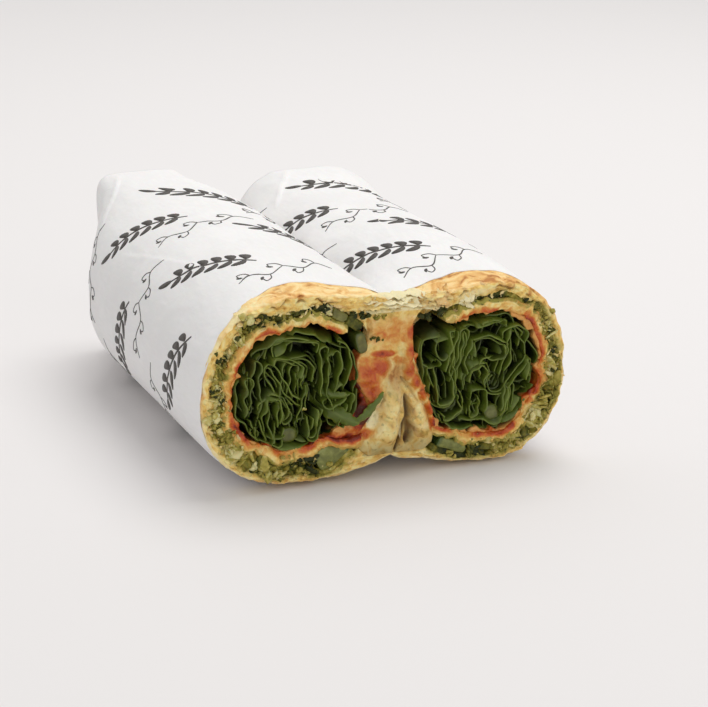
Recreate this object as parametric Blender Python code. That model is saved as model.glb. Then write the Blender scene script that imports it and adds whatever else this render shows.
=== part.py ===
"""A salad naan wrap, cut nearly through and folded open, in its paper.

Two short rolls of naan lie side by side, joined at their inner sides by the
uncut bread, with both cut faces turned to the front. The script works in its own
frame: the cut faces lie in the plane y = 0 and look along -Y, the rolls run back
along +Y, and the wrap rests on z = 0. An empty then moves the whole, so that the
middle of its base is the origin. Lengths are metres, and angles are degrees
round a roll's centre, counted from +X towards +Z.
"""

import math
import random
from dataclasses import dataclass

import bmesh
import bpy
import numpy as np

MM = 0.001

# Clearances and walls
GAP = 0.3 * MM                 # between two solids that touch in the food
PAPER_WALL = 0.5 * MM
FLOOR_LIFT = GAP + PAPER_WALL  # lowest bread, which leaves room for the paper
SETTLE = 0.6 * MM              # how far a roll's underside is pressed flat
BODY_SQUARENESS = 2.2          # of a roll's section: 2 is an ellipse

# Stations along a roll, from the cut face to the back
LIP_END = 12.0 * MM            # the bread's lip that stands out of the paper
ROUND_FROM = 35.0 * MM         # from here on a roll is a plain ellipse
BREAD_END = {"left": 104.0 * MM, "right": 105.0 * MM}
FILLING_END = 103.0 * MM
TAPER_FROM = 107.0 * MM        # from here on the paper is squeezed
SALAD_DEPTH = 5.0 * MM         # how deep the gaps between the leaves reach
PEPPER_LENGTH = 14.0 * MM
STALK_LENGTH = 40.0 * MM
CUTTER_START = -30.0 * MM      # the tools that hollow a solid start here
LIP_ROUNDING = 0.3             # share of the change to an ellipse done by LIP_END
DISH_DEPTH = 4.0 * MM          # of the folded-in back end of the paper
DISH_SHARE = 0.72              # its width, as a share of the end's

# Relief of the cut faces
CRUMB_CROWN = 0.7 * MM
CRUMB_ROUGHNESS = 0.5 * MM
LAYER_WAVE = 0.45 * MM
EDGE_ROUGHNESS = 0.3 * MM
BAR_EDGE = 0.5 * MM            # rounding of a stalk's or slice's cut end
BAR_END = 0.82                 # width of that end, as a share of the bar's

# Salad leaves
LEAF_THICKNESS = 0.7 * MM
LEAF_STATIONS = 7
LEAF_DEPTH = 7.5 * MM
LEAF_WAVE = 0.8 * MM
LEAF_KINK = 0.35 * MM
LEAF_MARGIN = 1.2 * MM         # between the leaves' middle and the salad's edge

# How finely the solids are divided
STEPS_ROUND = 44               # the bread and the paper over it, divided alike
STEPS_LAYER = 40
STEPS_SALAD = 30
STEPS_SQUEEZE = 4              # sections of the squeezed end of the paper
SLIVER = 0.002 * MM            # shorter edges are merged after a Boolean


@dataclass
class Roll:
    """One half of the wrap. Radii are mm, at every 30 degrees from 0 to 330."""

    side: str
    centre: tuple            # x and z of the layers' centre in the cut face, mm
    axis_x: float            # x of the roll's own axis at the cut face, mm
    turn: float              # how far the roll is turned about Z, degrees
    half_width: float        # of the paper's ellipse, mm
    half_height: float
    skin: tuple              # outer edge of the bread in the cut face
    cavity: tuple            # inner face of the outer bread layer
    layer_out: tuple         # outer face of the inner bread layer
    layer_in: tuple          # inner face of the inner bread layer
    core: tuple              # edge of the salad
    layer_span: tuple        # angles from the free end to the joined end
    sauce_span: tuple
    herb_span: tuple
    cucumber_span: tuple
    cucumber_drop: float     # bread side of the cucumber, mm above the cavity
    paper_edge: tuple        # y of the paper's front edge, mm
    end_y: float             # back end of the paper, mm
    end_x: float             # x of the squeezed end's middle, mm
    end_half_width: float
    end_squareness: float
    end_lean: float          # how far the foot of the end's outer side is drawn in, mm
    stalk: tuple             # x, z, half width and half height, mm
    seed: int


LEFT = Roll(
    side="left",
    centre=(-33.0, 30.0),
    axis_x=-27.55,
    turn=-2.83,
    half_width=33.9,
    half_height=30.0,
    skin=(35.5, 39.0, 28.9, 26.2, 27.0, 27.1, 27.3, 28.8, 28.9, 28.3, 31.9, 40.0),
    cavity=(28.5, 26.8, 25.0, 22.4, 24.0, 23.4, 24.0, 26.2, 26.6, 25.6, 29.3, 26.8),
    layer_out=(24.0, 24.0, 22.2, 20.9, 21.1, 21.2, 21.1, 22.2, 21.8, 21.6, 22.6, 31.5),
    layer_in=(22.0, 21.6, 19.5, 19.2, 18.8, 19.1, 19.7, 19.8, 19.6, 19.0, 20.2, 28.6),
    core=(19.6, 19.9, 17.6, 17.4, 16.8, 17.0, 18.0, 18.0, 17.9, 17.2, 18.6, 20.4),
    layer_span=(42.0, 331.0),
    sauce_span=(57.0, 372.0),
    herb_span=(65.0, 312.0),
    cucumber_span=(288.0, 311.0),
    cucumber_drop=1.9,
    paper_edge=(8.0, 10.0, 11.0, 11.0, 6.0, 1.5, 1.0, 2.0, 4.0, 6.0, 8.0, 8.0),
    end_y=147.0,
    end_x=-25.6,
    end_half_width=15.6,
    end_squareness=7.0,
    end_lean=6.5,
    stalk=(-34.0, 15.6, 2.9, 2.3),
    seed=11,
)

RIGHT = Roll(
    side="right",
    centre=(24.5, 28.5),
    axis_x=25.2,
    turn=-1.10,
    half_width=29.75,
    half_height=29.5,
    skin=(29.0, 29.2, 28.6, 26.2, 27.5, 36.5, 30.0, 36.5, 28.8, 27.3, 29.8, 30.4),
    cavity=(27.0, 26.4, 25.2, 22.6, 22.8, 25.0, 21.6, 22.4, 26.9, 25.2, 27.8, 28.2),
    layer_out=(23.8, 24.2, 23.6, 21.2, 20.6, 21.0, 24.0, 27.5, 21.6, 21.2, 23.0, 23.5),
    layer_in=(21.7, 22.2, 21.1, 18.2, 17.8, 19.0, 22.0, 24.6, 19.7, 19.2, 21.0, 21.4),
    core=(19.9, 19.5, 19.3, 16.4, 16.0, 21.6, 17.0, 16.9, 17.9, 16.8, 19.2, 19.3),
    layer_span=(-150.0, 124.0),
    sauce_span=(160.0, 476.0),
    herb_span=(-121.0, 124.0),
    cucumber_span=(-120.0, -97.0),
    cucumber_drop=1.8,
    paper_edge=(1.5, 2.5, 8.0, 11.0, 10.0, 9.0, 8.0, 7.0, 7.0, 6.0, 4.0, 2.0),
    end_y=138.0,
    end_x=29.8,
    end_half_width=25.0,
    end_squareness=3.2,
    end_lean=0.0,
    stalk=(30.5, 14.9, 2.6, 2.4),
    seed=29,
)

# Folded leaves that show at the cut: x and z of the bend's middle, half width,
# half height, tilt, and the number nested in one another (mm and degrees)
FOLDS = {
    "left": (
        (-32.0, 39.0, 12.0, 6.0, 175.0, 2),
        (-33.0, 33.0, 9.0, 4.5, 160.0, 2),
        (-40.5, 27.0, 4.6, 9.0, 172.0, 2),
        (-35.0, 24.5, 3.4, 10.0, 38.0, 2),
        (-44.5, 31.0, 3.0, 10.0, 5.0, 1),
        (-26.0, 30.0, 4.0, 11.0, 184.0, 2),
        (-21.0, 31.0, 3.6, 11.0, 8.0, 2),
        (-28.0, 19.5, 4.6, 4.6, 15.0, 1),
        (-42.0, 19.0, 3.6, 5.0, 20.0, 1),
    ),
    "right": (
        (13.4, 31.0, 4.9, 11.5, 0.0, 2),
        (9.4, 38.0, 2.6, 5.6, 10.0, 1),
        (20.0, 33.0, 2.6, 10.0, 4.0, 1),
        (28.0, 37.0, 7.6, 5.0, 182.0, 2),
        (24.6, 24.4, 4.2, 8.2, 186.0, 2),
        (31.6, 27.8, 5.4, 7.2, 8.0, 2),
        (38.4, 31.0, 2.9, 11.0, 184.0, 2),
        (29.0, 42.6, 9.0, 2.4, 178.0, 1),
        (19.0, 17.6, 6.4, 2.6, 12.0, 1),
        (35.4, 17.0, 3.0, 4.6, 196.0, 1),
    ),
}
FOLD_REACH = 2.25     # radians of bend on each side of a fold's lowest point
FOLD_NEST = 0.42      # width and height that each nested leaf loses

# The sprig that hangs out of the left roll: x, y, z and half width, mm
SPRIG = (
    (-25.0, 7.0, 22.5, 1.4),
    (-22.0, 1.5, 21.0, 2.2),
    (-18.5, -2.6, 18.8, 2.9),
    (-13.5, -3.6, 18.2, 2.8),
    (-9.0, -3.8, 20.8, 1.9),
    (-6.0, -4.2, 24.4, 1.1),
    (-4.9, -4.4, 26.0, 0.4),
)

# Folds of pale naan in the uncut middle: start, bend and foot (x, z) and radius
HINGE_FOLDS = (
    ((-3.0, 25.5), (-5.2, 18.0), (-9.6, 8.8), 2.0),
    ((-1.6, 27.0), (-2.9, 18.0), (-5.6, 9.6), 2.2),
    ((0.0, 28.0), (-0.4, 18.0), (-2.4, 11.6), 2.1),
    ((0.6, 24.0), (1.9, 17.0), (2.6, 10.2), 1.8),
    ((1.4, 19.0), (3.6, 13.5), (6.6, 8.4), 1.7),
)
HINGE_FOLD_Y = 0.4 * MM        # depth of the folds' middle line
HINGE_FOLD_TIP = 0.55          # radius at a fold's ends, as a share of its radius
MIDDLE_X = -0.5 * MM            # the plane where the two rolls meet
MIDDLE_DRIFT = 0.024           # its drift in x for each metre back
MIDDLE_OVERLAP = 1.5 * MM      # how far each half of the bread reaches past it
MIDDLE_SPAN = 31.0             # half the angle over which the sauce beside it is thick
CUCUMBER_STEP = (1.5, 2.6)     # beside the cucumber: herbs still thin, herbs full

# Beside the free end of the left inner layer: a pocket of herbs and a slice of
# green pepper between the bread layers (angles), and a second slice next to the
# middle (x, z, half width, half height and tilt, mm and degrees)
HERB_POCKET_SPAN = (38.0, 48.0)
UPPER_PEPPER_SPAN = (50.0, 63.0)
LOWER_PEPPER = (-12.4, 40.8, 1.7, 3.2, 14.0)


def clear_scene():
    for item in list(bpy.data.objects):
        bpy.data.objects.remove(item, do_unlink=True)


def new_collection(name):
    collection = bpy.data.collections.new(name)
    bpy.context.scene.collection.children.link(collection)
    return collection


def plain_material(name, colour, roughness):
    material = bpy.data.materials.new(name)
    material.use_nodes = True
    shader = material.node_tree.nodes["Principled BSDF"]
    shader.inputs["Base Color"].default_value = (*colour, 1.0)
    shader.inputs["Roughness"].default_value = roughness
    shader.inputs["Metallic"].default_value = 0.0
    return material


# ---- curves and surfaces ---------------------------------------------------

def around(values, degrees):
    """Smooth closed curve through values that stand at equal angles."""
    values = np.asarray(values, dtype=float)
    count = len(values)
    place = np.asarray(degrees, dtype=float) / 360.0 * count
    base = np.floor(place).astype(int)
    t = place - base
    before, here, there, after = (values[(base + k) % count] for k in (-1, 0, 1, 2))
    return here + 0.5 * t * (
        there - before
        + t * (2 * before - 5 * here + 4 * there - after + t * (3 * (here - there) + after - before))
    )


def through(points, count):
    """Smooth open curve through a few points, at count places."""
    points = np.asarray(points, dtype=float)
    padded = np.vstack([2 * points[0] - points[1], points, 2 * points[-1] - points[-2]])
    place = np.linspace(0, len(points) - 1, count)
    base = np.minimum(place.astype(int), len(points) - 2)
    t = (place - base)[:, None]
    before, here, there, after = (padded[base + k] for k in range(4))
    return here + 0.5 * t * (
        there - before
        + t * (2 * before - 5 * here + 4 * there - after + t * (3 * (here - there) + after - before))
    )


def ripple(degrees, seed, waves):
    """Uneven periodic wave between about -1 and 1: a sum of seeded sines."""
    draw = random.Random(seed)
    angle = np.radians(degrees)
    total = np.zeros_like(angle)
    for wave in waves:
        total += math.sqrt(2.0 / len(waves)) * 0.7 * np.sin(wave * angle + draw.uniform(0, 2 * math.pi))
    return total


def smooth_step(value):
    value = np.clip(value, 0.0, 1.0)
    return value * value * (3.0 - 2.0 * value)


def squared_circle(angle, squareness):
    """Unit superellipse: a circle at squareness 2, and squarer above it."""
    power = 2.0 / squareness
    across = np.sign(np.cos(angle)) * np.abs(np.cos(angle)) ** power
    up = np.sign(np.sin(angle)) * np.abs(np.sin(angle)) ** power
    return across, up


def drift(roll, y):
    """How far the roll's axis has moved along X at depth y."""
    return -math.tan(math.radians(roll.turn)) * y


def layer_wave(roll, degrees):
    """The wave that all of a roll's layers share, which keeps them apart."""
    return LAYER_WAVE * ripple(degrees, roll.seed, (5, 8, 13))


def radial_curve(roll, radii, degrees, y, grow):
    """(x, z) of points at the given radii, in mm, one for each angle."""
    radius = radii * MM + layer_wave(roll, degrees) + grow
    angle = np.radians(degrees)
    x = roll.centre[0] * MM + radius * np.cos(angle) + drift(roll, y)
    z = roll.centre[1] * MM + radius * np.sin(angle)
    return np.stack([x, z], axis=-1)


def layer_curve(roll, radii, degrees, y, grow=0.0):
    """(x, z) of a layer boundary given by twelve radii."""
    return radial_curve(roll, around(radii, degrees), degrees, y, grow)


def offset_ring(ring, distance):
    """A closed ring of (x, z) points moved outwards by a distance."""
    along = np.roll(ring, -1, axis=0) - np.roll(ring, 1, axis=0)
    normal = np.stack([along[:, 1], -along[:, 0]], axis=-1)
    normal /= np.linalg.norm(normal, axis=1)[:, None]
    return ring + distance * normal


def skin_ring(roll, degrees, y, distance=0.0):
    """The bread's outside at depth y, or the paper over it at a distance.

    The outline of the cut face turns into an ellipse by ROUND_FROM, and past
    TAPER_FROM into the upright, squarish form of the squeezed paper.
    """
    angle = np.radians(degrees)
    y = np.broadcast_to(y, angle.shape)
    radius = around(roll.skin, degrees) * MM
    front = np.stack([
        roll.centre[0] * MM + radius * np.cos(angle),
        roll.centre[1] * MM + radius * np.sin(angle),
    ], axis=-1)
    wide = roll.half_width * MM - FLOOR_LIFT
    tall = roll.half_height * MM - FLOOR_LIFT
    across, up = squared_circle(angle, BODY_SQUARENESS)
    body = np.stack([
        roll.axis_x * MM + wide * across,
        roll.half_height * MM - SETTLE + tall * up,
    ], axis=-1)
    across, up = squared_circle(angle, roll.end_squareness)
    end_middle = roll.end_x * MM - drift(roll, roll.end_y * MM)
    drawn_in = roll.end_lean * MM * (1 - up) / 2 * (1 - across) / 2
    end = np.stack([
        end_middle + roll.end_half_width * MM * across + drawn_in,
        roll.half_height * MM + tall * up,
    ], axis=-1)
    rounding = np.interp(y, (0.0, LIP_END, ROUND_FROM), (0.0, LIP_ROUNDING, 1.0))[:, None]
    squeeze = smooth_step((y - TAPER_FROM) / (roll.end_y * MM - TAPER_FROM))[:, None]
    ring = front * (1 - rounding) + body * rounding
    ring = ring * (1 - squeeze) + end * squeeze
    ring[:, 0] += drift(roll, y)
    resting = ring[:, 1] < FLOOR_LIFT + SLIVER
    ring[resting, 1] = FLOOR_LIFT
    if distance:
        ring = offset_ring(ring, distance)
        ring[:, 1] = np.maximum(ring[:, 1], FLOOR_LIFT - distance)
        ring[resting, 1] = FLOOR_LIFT - distance
    return ring


def bread_ring(roll, degrees, y):
    """The bread's outside, with the side that meets the other roll cut off."""
    ring = skin_ring(roll, degrees, y)
    middle = MIDDLE_X + MIDDLE_DRIFT * y
    if roll.side == "left":
        ring[:, 0] = np.minimum(ring[:, 0], middle + MIDDLE_OVERLAP)
    else:
        ring[:, 0] = np.maximum(ring[:, 0], middle - MIDDLE_OVERLAP)
    return ring


def with_depth(ring, y):
    """(x, z) points with their y put between."""
    return np.stack([ring[:, 0], np.broadcast_to(y, len(ring)), ring[:, 1]], axis=-1)


# ---- solids ------------------------------------------------------------------

def object_from(name, points, faces, collection, material):
    mesh = bpy.data.meshes.new(name)
    mesh.from_pydata([tuple(point) for point in points], [], faces)
    build = bmesh.new()
    build.from_mesh(mesh)
    bmesh.ops.remove_doubles(build, verts=build.verts, dist=1e-7)
    bmesh.ops.recalc_face_normals(build, faces=build.faces)
    bmesh.ops.triangulate(build, faces=build.faces)
    build.to_mesh(mesh)
    build.free()
    solid = bpy.data.objects.new(name, mesh)
    collection.objects.link(solid)
    if material:
        mesh.materials.append(material)
    return solid


def loft(name, grid, collection, material, closed, turned=False):
    """A solid from section loops: grid[i] is the i-th loop of points.

    A closed loft joins its last loop to its first, as round a roll. An open one
    gets a cap at each end. turned splits the four-sided faces the other way.
    """
    loops, size, _ = grid.shape
    faces = []
    for i in range(loops if closed else loops - 1):
        j = (i + 1) % loops
        for k in range(size):
            m = (k + 1) % size
            a, b, c, d = i * size + k, j * size + k, j * size + m, i * size + m
            faces += [(a, b, d), (b, c, d)] if turned else [(a, b, c), (a, c, d)]
    if not closed:
        faces.append(tuple(range(size)))
        faces.append(tuple((loops - 1) * size + k for k in range(size)))
    return object_from(name, grid.reshape(-1, 3), faces, collection, material)


def layer_solid(name, outer, inner, degrees, collection, material, closed=False, seed=0,
                stations=(), across=(0.7, 0.3), front=0.0, last=FILLING_END):
    """A bread or filling layer between two curves, from the cut face to the back.

    outer and inner give (x, z) for angles and a depth. stations are extra depths
    on the outside, across the shares of the width with a point on the cut face.
    """
    edge = front + EDGE_ROUGHNESS * (1 + ripple(degrees, seed + 1, (7, 11, 19)))
    columns = [with_depth(outer(degrees, last), last)]
    columns += [with_depth(outer(degrees, y), y) for y in sorted(stations, reverse=True)]
    columns.append(with_depth(outer(degrees, 0.0), edge))
    for k, share in enumerate(across):
        blend = outer(degrees, 0.0) * share + inner(degrees, 0.0) * (1 - share)
        relief = CRUMB_ROUGHNESS * ripple(degrees, seed + 2 + k, (6, 9, 17, 23))
        columns.append(with_depth(blend, front - CRUMB_CROWN + relief))
    columns.append(with_depth(inner(degrees, 0.0), edge))
    columns.append(with_depth(inner(degrees, last), last))
    return loft(name, np.stack(columns, axis=1), collection, material, closed)


def sheet_solid(name, surface, thickness, collection, material):
    """A thin wavy solid over a grid of points, both faces divided alike."""
    along = np.gradient(surface, axis=0)
    cross = np.gradient(surface, axis=1)
    normal = np.cross(along, cross)
    normal /= np.linalg.norm(normal, axis=2)[:, :, None]
    rows, columns, _ = surface.shape
    points = np.concatenate([
        (surface + normal * thickness / 2).reshape(-1, 3),
        (surface - normal * thickness / 2).reshape(-1, 3),
    ])
    under = rows * columns
    faces = []
    for i in range(rows - 1):
        for k in range(columns - 1):
            a, b = i * columns + k, i * columns + k + 1
            c, d = a + columns, b + columns
            faces += [(a, c, d), (a, d, b)]
            faces += [(a + under, d + under, c + under), (a + under, b + under, d + under)]
    border = [k for k in range(columns)]
    border += [i * columns + columns - 1 for i in range(1, rows)]
    border += [(rows - 1) * columns + k for k in range(columns - 2, -1, -1)]
    border += [i * columns for i in range(rows - 2, 0, -1)]
    for here, there in zip(border, border[1:] + border[:1]):
        faces += [(here, there, there + under), (here, there + under, here + under)]
    return object_from(name, points, faces, collection, material)


def apply_boolean(target, others, operation, solver="EXACT"):
    """One Boolean of a whole collection, applied; the others are removed."""
    group = bpy.data.collections.new(target.name + "_" + operation.lower())
    bpy.context.scene.collection.children.link(group)
    for other in others:
        for collection in list(other.users_collection):
            collection.objects.unlink(other)
        group.objects.link(other)
        other.hide_render = True
        other.display_type = "WIRE"
    modifier = target.modifiers.new(operation.title(), "BOOLEAN")
    modifier.operation = operation
    modifier.operand_type = "COLLECTION"
    modifier.collection = group
    modifier.solver = solver
    view = bpy.context.evaluated_depsgraph_get()
    view.update()
    mesh = bpy.data.meshes.new_from_object(target.evaluated_get(view))
    target.modifiers.clear()
    target.data = mesh
    for other in others:
        bpy.data.objects.remove(other, do_unlink=True)
    bpy.data.collections.remove(group)
    clean_mesh(target)


def clean_mesh(target):
    """Slivers are merged, and sealed hollows and loose scraps are dropped."""
    build = bmesh.new()
    build.from_mesh(target.data)
    bmesh.ops.dissolve_degenerate(build, edges=build.edges, dist=SLIVER)
    bmesh.ops.triangulate(build, faces=build.faces)
    waiting = set(build.verts)
    shells = []
    while waiting:
        reached = [waiting.pop()]
        shell = set(reached)
        while reached:
            for edge in reached.pop().link_edges:
                for vert in edge.verts:
                    if vert not in shell:
                        shell.add(vert)
                        reached.append(vert)
        waiting -= shell
        shells.append(shell)
    main = max(shells, key=len)
    for shell in shells:
        if shell is not main:
            bmesh.ops.delete(build, geom=list(shell), context="VERTS")
    build.to_mesh(target.data)
    build.free()


def rounded_bar(name, centre, half, tilt, front, back, roll, collection, material,
                squareness=2.6, count=14):
    """A short bar with a rounded section that runs back with the roll."""
    angle = np.linspace(0, 2 * math.pi, count, endpoint=False)
    across, up = squared_circle(angle, squareness)
    u = half[0] * MM * across
    v = half[1] * MM * up
    lean = math.radians(tilt)
    x = u * math.cos(lean) - v * math.sin(lean)
    z = u * math.sin(lean) + v * math.cos(lean)
    rings = []
    for share, y in ((BAR_END, front), (1.0, front + BAR_EDGE), (1.0, back)):
        rings.append(np.stack([
            centre[0] * MM + x * share + drift(roll, y),
            np.full(count, y),
            centre[1] * MM + z * share,
        ], axis=-1))
    return loft(name, np.stack(rings), collection, material, closed=False)


# ---- the pieces --------------------------------------------------------------

def make_naan(collection, material):
    """Both rolls' outer and inner bread layers and the uncut middle, as one."""
    parts = []
    for roll in (LEFT, RIGHT):
        degrees = np.linspace(0, 360, STEPS_ROUND, endpoint=False)
        parts.append(layer_solid(
            f"naan_outer_{roll.side}",
            lambda a, y, r=roll: bread_ring(r, a, y),
            lambda a, y, r=roll: layer_curve(r, r.cavity, a, y),
            degrees, collection, material, closed=True, seed=roll.seed,
            stations=(LIP_END, ROUND_FROM), across=(0.8, 0.5, 0.2), last=BREAD_END[roll.side],
        ))
        degrees = np.linspace(*roll.layer_span, STEPS_LAYER)
        parts.append(layer_solid(
            f"naan_inner_{roll.side}",
            lambda a, y, r=roll: layer_curve(r, r.layer_out, a, y),
            lambda a, y, r=roll: layer_curve(r, r.layer_in, a, y),
            degrees, collection, material, seed=roll.seed + 5, across=(0.5,),
        ))
    for k, (start, bend, foot, radius) in enumerate(HINGE_FOLDS):
        parts.append(hinge_fold(f"hinge_fold_{k}", (start, bend, foot), radius, collection))
    naan = parts.pop(0)
    naan.name = "naan"
    apply_boolean(naan, parts, "UNION", solver="MANIFOLD")
    return naan


def hinge_fold(name, points, radius, collection):
    """One fold of pale bread: a tube along a bent line that thins to its top."""
    line = through([(x * MM, HINGE_FOLD_Y, z * MM) for x, z in points], 7)
    curve = bpy.data.curves.new(name, "CURVE")
    curve.dimensions = "3D"
    curve.bevel_depth = radius * MM
    curve.bevel_resolution = 1
    curve.use_fill_caps = True
    spline = curve.splines.new("POLY")
    spline.points.add(len(line) - 1)
    for k, (point, place) in enumerate(zip(spline.points, line)):
        point.co = (*place, 1.0)
        bulge = math.sin(math.pi * k / (len(line) - 1))
        point.radius = HINGE_FOLD_TIP + (1 - HINGE_FOLD_TIP) * bulge
    tube = bpy.data.objects.new(name, curve)
    collection.objects.link(tube)
    view = bpy.context.evaluated_depsgraph_get()
    mesh = bpy.data.meshes.new_from_object(tube.evaluated_get(view))
    build = bmesh.new()
    build.from_mesh(mesh)
    bmesh.ops.remove_doubles(build, verts=build.verts, dist=0.001 * MM)
    bmesh.ops.recalc_face_normals(build, faces=build.faces)
    bmesh.ops.triangulate(build, faces=build.faces)
    build.to_mesh(mesh)
    build.free()
    solid = bpy.data.objects.new(name, mesh)
    solid.matrix_world = tube.matrix_world
    bpy.data.objects.remove(tube, do_unlink=True)
    collection.objects.link(solid)
    return solid


def make_sauce(roll, collection, material):
    """Tomato sauce: thin inside the inner layer, thick against the middle."""
    degrees = np.linspace(*roll.sauce_span, STEPS_LAYER)

    def outside(a, y):
        radii = np.minimum(around(roll.layer_in, a), around(roll.cavity, a))
        middle = 0.0 if roll.side == "left" else 180.0
        beside_middle = np.abs((a - middle + 180.0) % 360.0 - 180.0) < MIDDLE_SPAN
        radii = np.where(beside_middle, around(roll.cavity, a), radii)
        return radial_curve(roll, radii, a, y, -GAP)

    def inside(a, y):
        return layer_curve(roll, roll.core, a, y, GAP)

    return layer_solid(f"tomato_sauce_{roll.side}", outside, inside, degrees, collection, material,
                       seed=roll.seed + 9, across=(0.66, 0.33), front=0.1 * MM)


def make_herbs(roll, collection, material):
    """Herb filling between the bread layers; under the cucumber it is thin."""
    low, high = roll.cucumber_span
    first, last = roll.herb_span
    thin, full = CUCUMBER_STEP
    corners = (low - full, low - thin, high + thin, high + full)
    degrees = [*np.linspace(first, last, STEPS_LAYER), *(a for a in corners if first < a < last)]
    degrees = np.array(sorted(degrees))

    def outside(a, y):
        return layer_curve(roll, roll.cavity, a, y, -GAP)

    def inside(a, y):
        over = around(roll.layer_out, a)
        under = around(roll.cavity, a) - roll.cucumber_drop
        near = (a > low - (thin + full) / 2) & (a < high + (thin + full) / 2)
        return radial_curve(roll, np.where(near, under, over), a, y, GAP)

    return layer_solid(f"herb_filling_{roll.side}", outside, inside, degrees, collection, material,
                       seed=roll.seed + 13, across=(0.7, 0.3), front=0.2 * MM)


def make_cucumber(roll, collection, material):
    """A stick of cucumber between the inner layer and the herbs under it."""
    degrees = np.linspace(*roll.cucumber_span, 8)

    def outside(a, y):
        return layer_curve(roll, roll.cavity, a, y, -roll.cucumber_drop * MM)

    def inside(a, y):
        return layer_curve(roll, roll.layer_out, a, y, GAP)

    return layer_solid(f"cucumber_{roll.side}", outside, inside, degrees, collection, material,
                       seed=roll.seed + 17, across=(0.5,), front=-0.2 * MM)


def fold_surface(roll, fold, nest, seed):
    """A leaf bent into a U: a line in the cut plane, carried back along the roll."""
    x, z, half_width, half_height, tilt, _ = fold
    share = FOLD_NEST ** nest
    bend = np.linspace(-FOLD_REACH, FOLD_REACH, LEAF_STATIONS)
    u = half_width * share * np.sin(bend)
    v = -half_height * (0.35 + 0.65 * share) * np.cos(bend)
    lean = math.radians(tilt)
    kink = LEAF_KINK * np.sin(3.1 * bend + seed)
    line_x = (x + u * math.cos(lean) - v * math.sin(lean)) * MM
    line_z = (z + u * math.sin(lean) + v * math.cos(lean)) * MM + kink
    from_x = line_x - roll.centre[0] * MM
    from_z = line_z - roll.centre[1] * MM
    degrees = np.degrees(np.arctan2(from_z, from_x))
    limit = around(roll.core, degrees) * MM + layer_wave(roll, degrees) - LEAF_MARGIN
    shrink = np.minimum(1.0, limit / np.hypot(from_x, from_z))
    line_x = roll.centre[0] * MM + from_x * shrink
    line_z = roll.centre[1] * MM + from_z * shrink
    front = LEAF_WAVE * np.sin(2.3 * bend + 1.7 * seed) + 0.4 * MM
    edge = np.stack([line_x, front, line_z], axis=-1)
    root = np.stack([line_x + drift(roll, LEAF_DEPTH), np.full_like(front, LEAF_DEPTH), line_z], axis=-1)
    return np.stack([edge, root], axis=1)


def sprig_surface():
    """The loose leaf: a strip that widens and narrows again, turned to the front."""
    line = through(SPRIG, 12)
    middle = line[:, :3] * MM
    half = line[:, 3] * MM
    along = np.gradient(middle, axis=0)
    cross = np.cross(along, (0.0, 1.0, 0.0))
    cross /= np.linalg.norm(cross, axis=1)[:, None]
    rows = []
    for side, lift in ((-1.0, -0.5), (0.0, 0.5), (1.0, -0.5)):
        row = middle + cross * (half * side)[:, None]
        row[:, 1] += lift * MM
        rows.append(row)
    return np.stack(rows, axis=1)


def make_salad(roll, collection, material):
    """The bundle of salad: a core, and the folded leaves that stand out of it."""
    degrees = np.linspace(0, 360, STEPS_SALAD, endpoint=False)
    depths = (SALAD_DEPTH, FILLING_END)
    rings = [with_depth(layer_curve(roll, roll.core, degrees, y, -GAP), y) for y in depths]
    core = loft(f"salad_leaves_{roll.side}", np.stack(rings), collection, material, closed=False)
    parts = []
    for k, fold in enumerate(FOLDS[roll.side]):
        for nest in range(fold[-1]):
            surface = fold_surface(roll, fold, nest, roll.seed + 3 * k + nest)
            parts.append(sheet_solid(f"leaf_{k}_{nest}", surface, LEAF_THICKNESS, collection, material))
    if roll.side == "left":
        parts.append(sheet_solid("sprig", sprig_surface(), LEAF_THICKNESS, collection, material))
    apply_boolean(core, parts, "UNION", solver="MANIFOLD")
    x, z, wide, tall = roll.stalk
    room = (wide + GAP / MM, tall + GAP / MM)
    cutter = rounded_bar("stalk_room", (x, z), room, 0.0, CUTTER_START, STALK_LENGTH + GAP, roll,
                         collection, None)
    apply_boolean(core, [cutter], "DIFFERENCE", solver="MANIFOLD")
    return core


def make_stalk(roll, collection, material):
    x, z, wide, tall = roll.stalk
    return rounded_bar(f"stalk_{roll.side}", (x, z), (wide, tall), 0.0, -BAR_EDGE, STALK_LENGTH, roll,
                       collection, material)


def paper_tube(name, roll, distance, front, end_inset, collection, material):
    """The space inside one roll's paper, out to a distance from the bread."""
    degrees = np.linspace(0, 360, STEPS_ROUND, endpoint=False)
    end = roll.end_y * MM - end_inset
    squeeze = np.linspace(TAPER_FROM, end, STEPS_SQUEEZE)
    depths = [front, LIP_END, ROUND_FROM, *squeeze]
    if np.max(front) < 0.0:
        depths.insert(1, 0.0)
    rings = []
    for y in depths:
        y = np.broadcast_to(y, degrees.shape)
        rings.append(with_depth(skin_ring(roll, degrees, np.maximum(y, 0.0), distance), y))
    last = rings[-1]
    middle = last.mean(axis=0)
    dish = middle + (last - middle) * DISH_SHARE
    dish[:, 1] -= DISH_DEPTH
    rings.append(dish)
    return loft(name, np.stack(rings), collection, material, closed=False, turned=True)


def make_paper(collection, material):
    """One sheet round both rolls, open at the cut and folded shut at the back."""
    shells = []
    hollows = []
    degrees = np.linspace(0, 360, STEPS_ROUND, endpoint=False)
    for roll in (LEFT, RIGHT):
        edge = around(roll.paper_edge, degrees) * MM
        shells.append(paper_tube(f"paper_{roll.side}", roll, FLOOR_LIFT, edge, 0.0, collection, material))
        start = np.full_like(edge, CUTTER_START)
        hollows.append(paper_tube(f"hollow_{roll.side}", roll, GAP, start, PAPER_WALL, collection, None))
    paper = shells.pop(0)
    paper.name = "paper_wrap"
    apply_boolean(paper, shells, "UNION")
    apply_boolean(paper, hollows, "DIFFERENCE")
    return paper


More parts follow.
